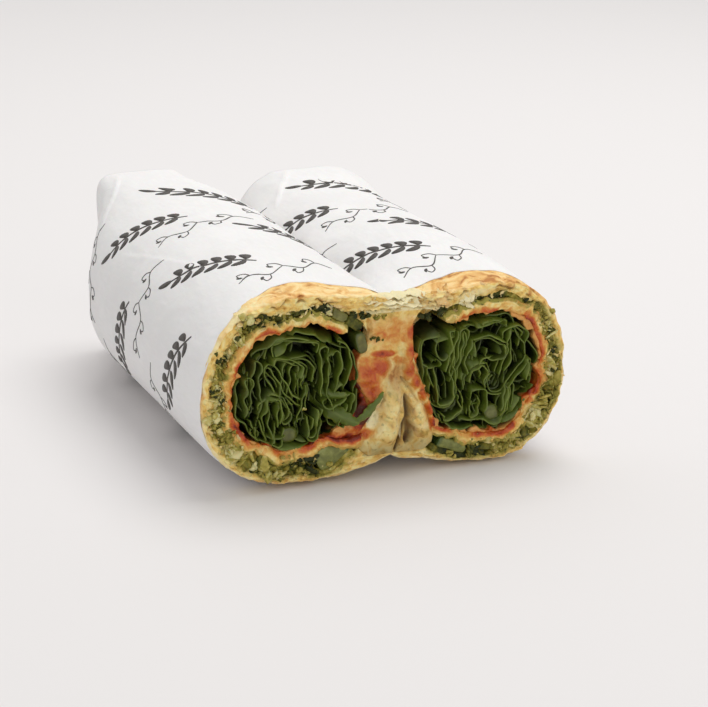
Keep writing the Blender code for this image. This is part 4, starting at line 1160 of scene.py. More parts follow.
def middle_bread(material, settings):
    """The uncut middle: soft folds of bread smeared with sauce, bulging forwards.

    Soft lumps of sauce and crumb noise come on top, and the rim bends back.
    """
    z = np.linspace(MIDDLE_FOOT, MIDDLE_TOP, 230)[:, None]
    left, right = np.interp(z, *MIDDLE_LEFT), np.interp(z, *MIDDLE_RIGHT)
    share = np.linspace(0.0, 1.0, 150)[None, :]
    x = left + (right - left) * share
    z = z + np.zeros_like(x)
    points = np.stack([x, np.zeros_like(x), z], axis=-1) * MM
    form, crease = middle_form(x, z, points)
    height = 0.25 + 0.35 * rough_noise(points, 5 * MM, 53) + form
    stain = np.zeros_like(x)
    for *spot, strength in SAUCE_SMEARS:
        stain = np.maximum(stain, strength * soft_spot(x, z, *spot))
    wet = smooth_step((stain - 0.4) / 0.4)
    height = height + 0.8 * wet * (0.5 + rough_noise(points, 3.0 * MM, 51))
    height = height + 0.2 * rough_noise(points, 1.5 * MM, 52) * (0.5 + 0.5 * smooth_step((z - 24) / 10))
    height = height + 0.35 * rough_noise(points * (1.0, 1.0, 0.5), 3.0 * MM, 54, 2)
    rim = np.minimum(share, 1 - share) * (right - left)
    rim = np.minimum(rim, np.minimum(z - MIDDLE_FOOT, MIDDLE_TOP - z))
    height = height * smooth_step(rim / 2.0) - 2.6 * (1 - smooth_step(rim / 1.6))
    front = np.stack([x * MM, -height * MM, z * MM], axis=-1)
    behind = front[:, ::-1][:, ::8].copy()
    behind[..., 1] = 4.0 * MM
    grid = np.concatenate([front, behind], axis=1)
    pad = np.zeros(behind.shape[:2])
    upper = smooth_step((z - 37.0) / 4.0)
    low = 1 - smooth_step((z - 7.0) / 7.0)
    toasted = soft_spot(x, z, -1.4, 29.6, 3.8, 5.2)
    # Painted highlight: a pale spot on the big fold's flank, where the sauce colour is also taken away.
    gloss = soft_spot(x, z, -8.8, 18.4, 1.6, 2.6)
    border = smooth_step((2.6 - (x - left)) / 2.0) * smooth_step((z - 16) / 4) * smooth_step((44 - z) / 5)
    stain = np.maximum(stain, 0.75 * border)

    def both(values):
        return np.concatenate([values, pad], axis=1)

    herbs = 0.5 * smooth_step((z - 45) / 4) * smooth_step(-x / 4)
    # Painted shade in the creases and towards the foot (low). Besides that, darker for the toasted patch,
    # along the left border, and a little all over.
    dark = 0.85 * crease * (1 - 0.5 * wet) + 0.46 * low + 0.3 * toasted + 0.5 * border + 0.05
    marks = bread_marks(
        baked=both(np.maximum(0.62 * upper * (1 - smooth_step((z - 47) / 2)), 0.8 * toasted)),
        brown=both(0.36 + 0.42 * toasted + 0.3 * upper),
        green=both(herbs + 0.3 * (1 - upper) + 0.1 * low),
        pale=both(np.maximum(0.44 * (1 - upper) * (1 - low) + gloss, smooth_step((z - 48) / 2))),
        arc=both(z * MM),
        ply=both(0.4 * x * MM),
        stain=both(np.clip(stain - 0.6 * gloss, 0, 1.1)),
        crease=both(np.clip(dark, 0, 1)),
    )
    settle_piece(sweep_object("naan_middle", grid, material, marks), "naan_bread", "naan")


def crust_flakes(material):
    """Torn flakes of crust and crumb: thin, bent lumps that mostly face up and forward."""
    draw = np.random.default_rng(17)
    centres, sizes, pale, brown = [], [], [], []
    for x, z, wide, tall, count, paleness, browning in FLAKES:
        spread = draw.uniform(-1, 1, (count, 2)) * (wide, tall)
        depth = draw.uniform(-0.6, 2.2, count)
        centres.append(np.stack([x + spread[:, 0], depth, z + spread[:, 1]], axis=-1) * MM)
        sizes.append(draw.uniform(0.6, 1.9, count) * MM)
        pale.append(paleness + draw.uniform(-0.2, 0.2, count))
        brown.append(browning + draw.uniform(-0.2, 0.2, count))
    centres, sizes = np.concatenate(centres), np.concatenate(sizes)
    pale, brown = (np.concatenate(v)[:, None, None] for v in (pale, brown))
    grids = lumps(centres, sizes, 18, FLAKE_SHAPE, FLAKE_FACING, 9, 20)
    marks = bread_marks(baked=brown * 1.1, brown=brown, green=0.12, pale=pale, arc=grids[..., 0],
                        ply=grids[..., 2])
    settle_piece(sweep_object("naan_flakes", grids, material, marks), "naan_bread")


def torn_sheets(material):
    """Thin torn layers of bread, one over another on the uncut middle.

    Each is a flat loop carried along x: it wavers by noise, its ends taper, its edge
    is ragged and its front droops.
    """
    sheets = np.array(SHEETS)[:, :, None, None]
    first, last, start, end, depth, reach, paleness = (sheets[:, k] for k in range(7))
    share = np.linspace(0.0, 1.0, 90)[None, :, None]
    turn = np.linspace(0, 2 * math.pi, 20, endpoint=False)[None, None, :]
    x = first + (last - first) * share
    taper = np.sqrt(np.clip(1 - (2 * share - 1) ** 6, 0.02, 1))
    place = np.stack([x, SHEET_APART * start + 0 * x, 0 * x], axis=-1) * MM
    ragged = taper * (0.85 + 0.5 * rough_noise(place, 2.2 * MM, 91, 3))
    forward = reach * ragged * np.cos(turn)
    course = start + (end - start) * share + 0.5 * value_noise(place, 5 * MM, 92)
    thick = (0.34 + 0.16 * rough_noise(place, 1.5 * MM, 93, 2)) * taper
    z = course + thick * np.sin(turn) - 0.07 * np.maximum(forward, 0) ** 2 - 0.12 * forward
    grids = np.stack(np.broadcast_arrays(x, depth - forward, z), axis=-1) * MM
    grids[..., 2] += 0.22 * MM * rough_noise(grids, 1.4 * MM, 94, 2)
    marks = bread_marks(baked=0.5 * (1 - paleness), brown=0.3, green=0.1, pale=paleness,
                        arc=grids[..., 0], ply=grids[..., 2], crease=0.1)
    settle_piece(sweep_object("naan_sheets", grids, material, marks), "naan_bread")


# ---- fillings ----

def sauce_layer(roll, material, settings):
    """Tomato sauce inside the inner layer, thick against the uncut middle."""
    degrees = np.linspace(*roll.sauce_span, 420)[:, None]
    open_side = 1 - smooth_step((beside_middle(roll, degrees) - MIDDLE_SPAN + 4.0) / 8.0)
    cavity = around(roll.cavity, degrees)
    out = blended(np.minimum(around(roll.layer_in, degrees), cavity) - 0.5, cavity, open_side)
    ragged = 0.9 * ripple(degrees, roll.seed + 60, (5, 9, 17, 26))
    ragged += 0.35 * ripple(degrees, roll.seed + 61, (37, 51))
    into = np.minimum(around(roll.core, degrees) + 0.55 + 0.75 * ragged, out - 0.3)

    def relief(points, share):
        return settings.lump * (0.2 + 0.9 * rough_noise(points, 2.6 * MM, roll.seed + 62))

    grid, _ = layer_grid(roll, out, into, degrees, 0.3 * MM, relief)
    # Painted shade: darker the further back the sauce lies behind the cut face.
    depth_and_shade = 0.95 * smooth_step((grid[..., 1] - 0.8 * MM) / (3.5 * MM))
    tone = 1.42 - 1.9 * around(roll.soaking, degrees) - 0.6 * open_side
    tone = tone + rough_noise(grid, 6 * MM, roll.seed + 67, 2)
    piece = sweep_object(f"tomato_sauce_{roll.side}_spread", grid, material, {"depth_and_shade": depth_and_shade, "tone": tone})
    settle_piece(piece, "tomato_sauce", f"tomato_sauce_{roll.side}")


def herb_layer(roll, material, settings):
    """Herb paste between the bread layers, thin under the cucumber."""
    low, high = roll.cucumber_span
    degrees = np.linspace(*roll.herb_span, 420)[:, None]
    thin, full = CUCUMBER_STEP
    beside = np.maximum(low - degrees, degrees - high)
    under = 1 - smooth_step((beside - thin) / (full - thin))
    cavity = around(roll.cavity, degrees)
    into = blended(around(roll.layer_out, degrees), cavity - roll.cucumber_drop, under)

    def relief(points, share):
        return settings.lump * (0.9 * rough_noise(points, 1.9 * MM, roll.seed + 63))

    grid, _ = layer_grid(roll, cavity + 0.35, into - 0.15, degrees, 0.5 * MM, relief)
    tone = around(roll.herb_tone, degrees) + 0.45 * value_noise(grid, 4.0 * MM, roll.seed + 64)
    piece = sweep_object(f"herb_filling_{roll.side}_paste", grid, material, {"tone": tone})
    settle_piece(piece, "herb_paste", f"herb_filling_{roll.side}")


def herb_pocket(material, settings):
    """The herbs beside the inner layer's free end in the left roll."""
    degrees = np.linspace(*HERB_POCKET_SPAN, 40)[:, None]

    def relief(points, share):
        return settings.lump * rough_noise(points, 1.9 * MM, 66)

    out, into = around(LEFT.cavity, degrees) + 0.2, around(LEFT.layer_out, degrees) + 0.1
    grid, _ = layer_grid(LEFT, out, into, degrees, -0.4 * MM, relief)
    tone = 0.1 + 0.25 * value_noise(grid, 2.5 * MM, 67)
    piece = sweep_object("herb_pocket_left_paste", grid, material, {"tone": tone})
    settle_piece(piece, "herb_paste", "herb_pocket_left")


def lumps(centres, sizes, seed, shape=(1.0, 1.0, 1.0), facing=None, rows=5, columns=8):
    """Small uneven lumps: a ball of a few rings each, stretched, turned and dented.

    A point is centre + turned (radius * direction * shape), where smooth noise of the
    direction and sines round the third axis uneven the radius. With facing, that axis
    stays near the direction, the first lies across, and a lump is bent like a chip.
    """
    draw = np.random.default_rng(seed)
    count = len(centres)
    rise = np.linspace(0.12 * math.pi, 0.88 * math.pi, rows)[:, None]
    turn = np.linspace(0, 2 * math.pi, columns, endpoint=False)[None, :]
    ring = np.sin(rise)
    ball = np.stack([ring * np.cos(turn), ring * np.sin(turn), np.cos(rise) + 0 * turn], axis=-1)
    phase = draw.uniform(*ANY_PHASE, (2, count, 1, 1, 1))
    turn = turn[..., None]
    corners = 1 + 0.13 * np.sin(3 * turn + phase[0]) + 0.09 * np.sin(5 * turn + phase[1])
    dents = 1 + 0.38 * rough_noise(ball[None] + draw.uniform(0, 90, (count, 1, 1, 3)), 0.8, seed, 2)
    points = ball[None] * corners * dents[..., None] * draw.uniform(0.6, 1.0, (count, 1, 1, 3))
    points *= np.array(shape)
    if facing is None:
        axes = np.linalg.qr(draw.normal(size=(count, 3, 3)))[0]
    else:
        points[..., 2] += draw.uniform(-0.5, 0.5, (count, 1, 1)) * points[..., 0] ** 2
        third = np.array(facing) + 0.3 * draw.normal(size=(count, 3))
        third /= np.linalg.norm(third, axis=1)[:, None]
        first = np.cross(third, 0.45 * draw.normal(size=(count, 3)) + (0.0, 0.0, 1.0))
        first /= np.linalg.norm(first, axis=1)[:, None]
        axes = np.stack([first, np.cross(third, first), third], axis=1)
    points = np.einsum("nrci,nij->nrcj", points, axes)
    return points * np.asarray(sizes)[:, None, None, None] + np.asarray(centres)[:, None, None]


def ring_places(roll, draw, count, low, high):
    """Places in the herb layer's cut face, away from the cucumber.

    The share across the layer runs from low to high, 0 at the inner bread and 1 at
    the outer. Gives the angles, the places, and in mm how wide the layer is there and
    how far the skin is.
    """
    degrees = draw.uniform(*roll.herb_span, count)
    width = around(roll.cavity, degrees) - around(roll.layer_out, degrees)
    first, last = roll.cucumber_span
    keep = draw.uniform(0, 6.0, count) < np.clip(width, 1.2, 6.0) * 2.2
    keep &= (degrees < first - 1) | (degrees > last + 1)
    degrees, width = degrees[keep], width[keep]
    radius = around(roll.layer_out, degrees) + width * draw.uniform(low, high, len(degrees))
    radius = np.minimum(radius, around(roll.skin, degrees) - 2.4)
    room = around(roll.skin, degrees) - radius
    depth = draw.uniform(-0.7, 0.8, len(degrees)) * MM
    return degrees, boundary(roll, radius, degrees, depth), width, room


def herb_bits(roll, material, settings):
    """Chopped leaves, olive crumbs and cheese in the herb layer's cut face."""
    draw = np.random.default_rng(roll.seed + 70)
    degrees, centres, width, room = ring_places(roll, draw, settings.bits, -0.06, 1.05)
    sizes = settings.bit_size * np.clip(draw.lognormal(-0.25, 0.45, len(degrees)), 0.35, 1.9)
    sizes = np.minimum(sizes * np.clip(width / 4.0, 0.38, 1.15), 0.55 * room * MM)
    cheese = 0.4 * (draw.uniform(0, 1, len(degrees)) < 0.07)
    patches = 0.55 * value_noise(centres, 4.5 * MM, roll.seed + 72)
    tone = around(roll.herb_tone, degrees) + patches + 0.1 * draw.normal(size=len(degrees)) + cheese
    grids = lumps(centres, sizes, roll.seed + 71, (1.5, 1.0, 0.36))
    piece = sweep_object(f"herb_bits_{roll.side}", grids, material, {"tone": tone[:, None, None]})
    settle_piece(piece, "herb_paste")


def crumb_shreds(roll, material, settings):
    """Shreds of bread, torn from both sides of the herb layer by the cut."""
    draw = np.random.default_rng(roll.seed + 75)
    rings = [ring_places(roll, draw, settings.shreds // 2, *span) for span in ((0.75, 1.3), (-0.5, 0.25))]
    degrees, centres, width, room = (np.concatenate(pair) for pair in zip(*rings))
    sizes = np.clip(draw.lognormal(-0.1, 0.4, len(degrees)), 0.5, 2.2) * np.clip(width / 3.6, 0.5, 1)
    sizes = np.minimum(sizes, 0.55 * room) * MM
    grids = lumps(centres, sizes, roll.seed + 76, (1.5, 0.8, 0.34), rows=7, columns=12)
    green = (around(roll.greening, degrees) + draw.uniform(-0.3, 0.3, len(degrees)))[:, None, None]
    marks = bread_marks(baked=0.1, brown=0.3, green=green, pale=0.45, arc=grids[..., 0],
                        ply=grids[..., 2])
    settle_piece(sweep_object(f"naan_shreds_{roll.side}", grids, material, marks), "naan_bread")


def layer_chunks(material):
    """Larger chunks of cheese and clumps of herbs between the layers, where listed."""
    chunks = np.array(CHUNKS)
    draw = np.random.default_rng(83)
    several = 5
    sizes = np.repeat(chunks[:, 2], several) * MM * 0.8
    centres = np.stack([chunks[:, 0], np.full(len(chunks), -0.2), chunks[:, 1]], axis=-1) * MM
    centres = np.repeat(centres, several, axis=0)
    centres += draw.normal(size=centres.shape) * sizes[:, None] * (0.45, 0.2, 0.45)
    grids = lumps(centres, sizes * draw.uniform(0.45, 0.85, len(centres)), 84, rows=8, columns=14)
    tone = np.repeat(chunks[:, 3], several) + draw.uniform(-0.1, 0.1, len(centres))
    settle_piece(sweep_object("layer_chunks", grids, material, {"tone": tone[:, None, None]}), "herb_paste")


def between_boundaries(name, roll, lifts, span, front, last, material, rind="none"):
    """A vegetable piece from the inner to the outer bread, rounded at the cut's corners.

    lifts are mm added to both radii, and rind names the end of the span that has it.
    """
    degrees = np.linspace(*span, 40)[:, None]
    full = thin_ends(degrees, span, 1.6)
    out, into = around(roll.cavity, degrees) + lifts[0], around(roll.layer_out, degrees) + lifts[1]
    out, into = narrowed(out, into, full)

    def relief(points, share):
        return 0.15 * MM * rough_noise(points, 1.5 * MM, roll.seed + 65)

    grid, across = layer_grid(roll, out, into, degrees, front, relief, last=last)
    place = (degrees - span[0]) / (span[1] - span[0]) + 0 * across
    near = {"none": 0 * place, "first": 1 - place, "last": place}[rind]
    return sweep_object(name, grid, material, {"rind": smooth_step((near - 0.82) / 0.2)})


def cucumber(roll, material):
    """A stick of cucumber, with its rind at the end of its span next to the middle."""
    piece = between_boundaries(f"cucumber_{roll.side}_stick", roll, (-roll.cucumber_drop, 0.1),
                               roll.cucumber_span, -0.3 * MM, FILLING_END, material,
                               "last" if roll.side == "left" else "first")
    settle_piece(piece, "cucumber_flesh", f"cucumber_{roll.side}")


def rounded_bar(name, centre, half, tilt, roll, front, back, material, squareness, rind):
    """A bar with a superellipse section: rings back along the roll, domed in front."""
    angle = np.linspace(0, 2 * math.pi, 36, endpoint=False)[None, :]
    across, up = squared_circle(angle, squareness)
    x, z = turned(half[0] * MM * across, half[1] * MM * up, tilt)
    share = np.array([0.3, 0.6, 0.85, 0.96, 1.0, 1.0, 1.0])[:, None]
    depth = np.array([0.0, 0.05, 0.25, 0.55, 1.05, 5.0, (back - front) / MM])[:, None] * MM + front
    grid = np.stack([
        centre[0] * MM + x * share + drift(roll, depth),
        depth + 0 * x,
        centre[1] * MM + z * share,
    ], axis=-1)
    grid[..., 0] += 0.12 * MM * rough_noise(grid, 2 * MM, 91)
    grid[..., 2] += 0.12 * MM * rough_noise(grid, 2 * MM, 92)
    edge = smooth_step((share - 0.7) / 0.2) * rind + 0 * x
    return sweep_object(name, grid, material, {"rind": edge})


# ---- salad ----

def bend_line(x, z, half_width, bend_depth, arm_a, arm_b, tilt, wobble):
    """A U in the cut plane: half an ellipse with an arm on each side, in mm.

    Along the line: first arm, x = -half_width; the bend, (-half_width cos, -depth
    sin); second arm, x = +half_width. The arms stray by a slow sine, and tilt
    turns the opening.
    """
    turn = 0.5 * math.pi * (half_width + bend_depth)
    total = arm_a + turn + arm_b
    place = np.linspace(0.0, total, LEAF_PLACES)
    on_bend = np.clip((place - arm_a) / turn, 0.0, 1.0) * math.pi
    beyond = np.where(place < arm_a, arm_a - place, np.maximum(place - arm_a - turn, 0.0))
    u = -half_width * np.cos(on_bend)
    v = -bend_depth * np.sin(on_bend) + beyond
    u = u + 0.055 * beyond * np.sin(0.35 * beyond + wobble) + 0.22 * np.sin(1.1 * place + 2.3 * wobble)
    u, v = turned(u, v + 0.18 * np.sin(0.9 * place + wobble), tilt - 90.0)
    return x + u, z + v


def leaf_ribbon(roll, line_x, line_z, front, depth, slant, lean, thickness, seed):
    """A folded leaf: a line in the cut plane carried back along the roll.

    The section is a thin loop, round at the front. Near the front it leans over by
    lean * exp(-distance from the front / LEAN_REACH), and noise bends the whole.
    """
    along_x, along_z = np.gradient(line_x), np.gradient(line_z)
    length = np.hypot(along_x, along_z) + 1e-9
    normal = np.stack([-along_z / length, np.zeros_like(length), along_x / length], axis=-1)[:, None]
    share = np.array([0.0, 0.006, 0.02, 0.05, 0.1, 0.17, 0.27, 0.42, 0.65, 1.0])
    half = np.array([0.3, 0.8, 1.0, 1.0, 1.0, 0.95, 0.9, 0.8, 0.7, 0.6]) * thickness / 2
    y = front[:, None] + (depth - front[:, None]) * share
    toward = normal[..., 0] * LEAF_LEAN[0] + normal[..., 2] * LEAF_LEAN[1]
    lip = lean * toward * (np.exp(-(y - front[:, None]) / LEAN_REACH) - 0.35)
    middle = np.stack([
        line_x[:, None] * MM + drift(roll, y) + slant[0] * share * depth,
        y,
        line_z[:, None] * MM + slant[1] * share * depth,
    ], axis=-1)
    bent = 0.5 * MM * rough_noise(middle * (1.0, 0.6, 1.0) + seed, 4.5 * MM, 5, 2)
    middle = middle + normal * (lip + bent)[..., None]
    top = middle + normal * half[None, :, None]
    under = middle - normal * half[None, :, None]
    grid = np.concatenate([top, under[:, ::-1]], axis=1)
    # rim: 1 at the leaf's front edge, fading back. The finish makes it paler there, partly as painted
    # highlight.
    rim = np.exp(-(y - front[:, None]) / RIM_REACH)
    return grid, np.concatenate([rim, rim[:, ::-1]], axis=1)


def keep_in_core(roll, line_x, line_z, margin):
    """Pulls points that leave the salad's outline back to it, less a margin in mm."""
    from_x, from_z = line_x - roll.centre[0], line_z - roll.centre[1]
    degrees = np.degrees(np.arctan2(from_z, from_x))
    limit = around(roll.core, degrees) + wave(roll, degrees) / MM - margin
    reach = np.hypot(from_x, from_z)
    shrink = np.minimum(1.0, limit / np.maximum(reach, 1e-6))
    return roll.centre[0] + from_x * shrink, roll.centre[1] + from_z * shrink


def salad_bundle(roll, material, settings):
    """All the leaves of a roll: listed folds and liners in front, random ones further in."""
    draw = np.random.default_rng(roll.seed + 100)
    grids, rims, tones = [], [], []

    def add_leaf(line_x, line_z, lift, margin, lean, tone, rim_strength):
        line_x, line_z = keep_in_core(roll, line_x, line_z, margin)
        place = np.linspace(0, 1, LEAF_PLACES)
        front = lift + settings.wave * np.sin(place * draw.uniform(4, 8) + draw.uniform(*ANY_PHASE))
        front += 0.25 * settings.wave * np.sin(place * 23 + draw.uniform(*ANY_PHASE))
        uneven = lean * (1 + 0.5 * np.sin(place * draw.uniform(3, 9) + draw.uniform(*ANY_PHASE)))
        slant = draw.uniform(-0.16, 0.16, 2)
        grid, rim = leaf_ribbon(roll, line_x, line_z, front, settings.depth, slant, uneven[:, None],
                                settings.thickness, draw.uniform(0, 1))
        grids.append(grid)
        rims.append(rim * rim_strength)
        # Painted shade: the leaf's tone darkens further back from its front edge.
        tones.append(tone * (0.9 * rim ** RIM_TO_FACE + 0.4) - 0.55 * (1 - rim ** RIM_TO_FACE))

    for x, z, half_width, bend_depth, arm_a, arm_b, tilt, nested in FOLDS[roll.side]:
        lean = draw.uniform(0.7, 2.2) * MM
        wobble = draw.uniform(*ANY_PHASE)
        for nest in range(nested):
            inset = FOLD_SPACING * nest
            narrow = max(half_width - inset, 0.45)
            shallow = max(bend_depth - 0.8 * inset, 0.6)
            arms = arm_a * draw.uniform(0.75, 1.05), arm_b * draw.uniform(0.75, 1.05)
            line_x, line_z = bend_line(x, z, narrow, shallow, *arms, tilt, wobble + 0.4 * nest)
            add_leaf(line_x, line_z, draw.uniform(-0.9, 0.7) * MM, 0.5, lean, draw.uniform(0.2, 0.95),
                     draw.uniform(0.5, 1.0))
    for first, last, inset, lean in LINERS[roll.side]:
        degrees = np.linspace(first, last, LEAF_PLACES)
        stray = 0.5 * ripple(degrees, first + roll.seed + 400, (5, 9, 14))
        reach = around(roll.core, degrees) - inset + stray
        angle = np.radians(degrees)
        add_leaf(roll.centre[0] + reach * np.cos(angle), roll.centre[1] + reach * np.sin(angle),
                 draw.uniform(0.0, 1.4) * MM, 0.1, lean * MM, draw.uniform(0.3, 0.8), draw.uniform(0.2, 0.7))
    for _ in range(settings.fillers):
        angle, reach = draw.uniform(0, 2 * math.pi), 16.5 * math.sqrt(draw.uniform(0, 1))
        line_x, line_z = bend_line(
            roll.centre[0] + reach * math.cos(angle), roll.centre[1] + reach * math.sin(angle),
            draw.uniform(0.7, 2.6), draw.uniform(0.8, 2.4), draw.uniform(2, 9), draw.uniform(3, 11),
            draw.choice((90.0, 270.0)) + draw.uniform(-35, 35), draw.uniform(*ANY_PHASE),
        )
        add_leaf(line_x, line_z, draw.uniform(1.8, 4.5) * MM, 0.4, draw.uniform(0.6, 2.0) * MM,
                 draw.uniform(0.0, 0.4), 0.25)
    piece = sweep_object(f"salad_leaves_{roll.side}_folds", np.stack(grids), material,
                         {"rim": np.stack(rims), "tone": np.stack(tones)})
    settle_piece(piece, "salad_leaf", f"salad_leaves_{roll.side}")


def salad_core(roll, material):
    """The inside of the bundle, behind the leaves that show, given the darkest leaf tone as painted shade."""
    degrees = np.linspace(0, 360, 120, endpoint=False)[None, :]
    share = np.array([0.25, 0.6, 0.9, 1.0, 1.0])[:, None]
    depth = np.array([7.5, 7.5, 7.8, 9.0, FILLING_END / MM])[:, None] * MM
    radius = (around(roll.core, degrees) * MM + wave(roll, degrees) - GAP) * share
    grid = polar_points(roll, radius, degrees, depth)
    # Tone 0: the darkest leaf colour, painted shade for the inside of the bundle.
    piece = sweep_object(f"salad_core_{roll.side}", grid, material, {"rim": 0.0, "tone": 0.0})
    settle_piece(piece, "salad_leaf")


def sprig(material, settings):
    """The loose leaf in front of the middle: strips with a raised midrib."""
    side = np.linspace(-1, 1, 11)
    grids, rims = [], []
    for blade in SPRIG:
        line = through(blade, 40)
        middle, half = line[:, :3] * MM, line[:, 3] * MM
        along = np.gradient(middle, axis=0)
        cross = np.cross(along, (0.0, 1.0, 0.0))
        cross /= np.linalg.norm(cross, axis=1)[:, None]
        place = np.linspace(0, 1, 40)[:, None]
        edge = 1 + 0.12 * np.sin(place * 37) * np.abs(side)
        sheet = middle[:, None] + cross[:, None] * (half[:, None] * side * edge)[..., None]
        sheet[..., 1] += half[:, None] * 0.7 * np.abs(side) ** 1.4
        sheet[..., 1] += 0.3 * MM * np.sin(place * 14 + side) * np.abs(side)
        back = sheet[:, ::-1] + np.array([0.0, 0.8 * settings.thickness, 0.0])
        grids.append(np.concatenate([sheet, back], axis=1))
        rim = np.abs(side) ** 8 * 0.8 + 0.35 * np.exp(-(side / 0.12) ** 2)
        rim = rim + 0.8 * smooth_step((place - 0.85) / 0.15)
        rims.append(np.concatenate([rim, np.abs(side[::-1]) ** 8 + 0 * place], axis=1))
    marks = {"rim": np.clip(np.stack(rims), 0, 1), "tone": 0.7}
    settle_piece(sweep_object("salad_sprig", np.stack(grids), material, marks), "salad_leaf")


# ---- paper ----

def wrinkles(roll, points, degrees):
    """Height of the paper's wrinkles in mm: long soft folds, and ridges where it creased."""
    flat = points * (1.0, 0.45, 1.0)
    soft = rough_noise(flat, 13 * MM, roll.seed + 120, 2)
    ridges = 1.0 - np.abs(value_noise(points * (1.0, 0.7, 1.0), 19 * MM, roll.seed + 121)) * 2.2
    ridges = np.clip(ridges, 0.0, 1.0) ** 3
    end = smooth_step((points[..., 1] - 100 * MM) / (30 * MM))
    pinches = rough_noise(points * (1.0, 0.25, 1.0), 7 * MM, roll.seed + 122, 2) * end
    height = 0.2 * soft + 0.22 * ridges + 0.35 * pinches
    radius = 0.5 * (roll.half_width + roll.half_height)
    y = points[..., 1] / MM
    for first, start, last, stop, tall in CREASES[roll.side]:
        run = np.array([math.radians(last - first) * radius, stop - start])
        length = np.linalg.norm(run)
        off = (np.mod(degrees - first + 180.0, 360.0) - 180.0) * math.radians(1.0) * radius
        share = (off * run[0] + (y - start) * run[1]) / length ** 2
        side = (off * run[1] - (y - start) * run[0]) / length
        on = smooth_step((share + 0.05) / 0.25) * smooth_step((1.05 - share) / 0.25)
        step = 0.5 * np.exp(-(side / 3.5) ** 2) * np.sign(side)
        height = height + on * tall * (np.exp(-np.abs(side) / 0.7) + step)
    return height


def end_fold(u, v):
    """Height in mm of the paper's folded end: side flaps, a top flap, a bottom flap over it.

    u and v run from -1 to 1 across the end. A flap is where v is past both its
    straight edge and its slanting sides.
    """
    def past(distance):
        return smooth_step(distance / FLAP_EDGE)

    top = past(v + 0.14) * past(v - 1.15 * np.abs(u - 0.04) + 0.52)
    bottom = past(0.24 - v) * past(0.5 - v - 1.15 * np.abs(u + 0.05))
    return 0.6 * past(np.abs(u) - 0.12 - 0.3 * np.abs(v)) + 0.9 * top + 1.2 * bottom


def paper_surface(roll, settings, thickness):
    """Grid of the paper's outside: angles down, and from the back's middle to the front."""
    degrees = np.linspace(0, 360, 300, endpoint=False)[:, None]
    edge = around(roll.paper_edge, degrees) + 0.35 * ripple(degrees, roll.seed + 123, (7, 15, 26))
    edge = edge * MM
    end = roll.end_y * MM
    share = np.linspace(0.0, 1.0, 130)[None, :]
    depth = end + (edge - end) * share
    hug = blended(PAPER_HUG, FLOOR_LIFT, smooth_step((depth - edge) / (12 * MM)))
    grid = skin_grid(roll, degrees, depth, hug - thickness)
    fade = smooth_step((depth - edge) / (10 * MM)) * 0.85 + 0.15
    height = wrinkles(roll, skin_grid(roll, degrees, depth), degrees)
    grid = push_out(roll, grid, settings.wrinkle * height * fade)
    grid[..., 2] = np.maximum(grid[..., 2], 0.02 * MM + thickness)
    grid = clip_middle(roll, grid, -0.05 * MM - thickness)
    last = grid[:, :1]
    middle = last.mean(axis=0, keepdims=True)
    inward = np.linspace(0.0, 1.0, END_RINGS + 1)[None, :-1, None]
    closing = middle + (last - middle) * inward
    u = (closing[..., 0] - middle[..., 0]) / (roll.end_half_width * MM)
    v = (closing[..., 2] - middle[..., 2]) / (roll.half_height * MM)
    rounded = 1 - inward[..., 0] ** 2
    crumpled = 0.9 * MM * rough_noise(closing, 8 * MM, roll.seed + 124, 2)
    fold = end_fold(u, v) * MM * smooth_step(rounded / 0.3)
    closing[..., 1] += fold - rounded * (DISH_DEPTH * 0.6 - crumpled)
    return np.concatenate([closing, grid], axis=1)


def paper_tube(roll, material, settings):
    """The paper of one roll: its outside, and its inside a thickness further in."""
    outside = paper_surface(roll, settings, 0.0)
    inside = paper_surface(roll, settings, PAPER_THICKNESS)
    inside[:, :END_RINGS, 1] -= PAPER_THICKNESS
    grid = np.concatenate([outside, inside[:, ::-1]], axis=1)
    piece = sweep_object(f"paper_wrap_{roll.side}", grid, material, closed_rows=True, weld=0.002 * MM)
    settle_piece(piece, "wrap_paper", "paper_wrap")


def on_paper(surface, place, depth):
    """Points on the paper's outside for an angle share and a depth, by bilinear blending."""
    tube = surface[:, END_RINGS:]
    rows, columns = tube.shape[:2]
    along = np.mod(place, 1.0) * rows
    r0 = np.floor(along).astype(int) % rows
    r1 = (r0 + 1) % rows
    tr = (along - np.floor(along))[..., None]
    start, end = tube[r0, -1, 1], tube[r0, 0, 1]
    share = np.clip((depth - end) / (start - end), 0.0, 0.9999) * (columns - 1)
    c0 = np.floor(share).astype(int)
    tc = (share - c0)[..., None]
    low, high = (blended(tube[row, c0], tube[row, c0 + 1], tc) for row in (r0, r1))
    return blended(low, high, tr)


def stroke(line, half_width, power):
    """A stroke in paper coordinates: a smooth line with a width that tapers.

    Half the width is half_width * sin(pi t) ** power along the line.
    """
    line = through(line, STROKE_ROWS)
    along = np.gradient(line, axis=0)
    along /= np.linalg.norm(along, axis=1)[:, None] + 1e-12
    normal = np.stack([-along[:, 1], along[:, 0]], axis=-1)
    t = np.linspace(0.02, 0.98, STROKE_ROWS)
    half = (half_width * np.sin(math.pi * t) ** power)[:, None]
    return np.stack([line - normal * half, line + normal * half], axis=1)


def leaf_spray(x, y, turn, size):
    """A bold spray: a thick stem and close pairs of pointed leaves along it, in mm."""
    stem = [(-1.1, -0.05), (-0.3, 0.04), (0.4, 0.02), (1.0, -0.04)]
    shapes = [(stem, 0.03, 0.2)]
    for k, place in enumerate((-0.86, -0.56, -0.26, 0.04, 0.34, 0.64)):
        reach = 0.31 - 0.02 * abs(k - 2.5)
        for side in (-1, 1):
            leaf = [(place, 0.02 * side), (place + 0.05, side * reach * 0.6), (place + 0.22, side * reach)]
            shapes.append((leaf, 0.088, 0.6))
    shapes.append(([(0.86, -0.03), (1.05, -0.02), (1.28, 0.04)], 0.08, 0.6))
    return place_shapes(shapes, x, y, turn, size)


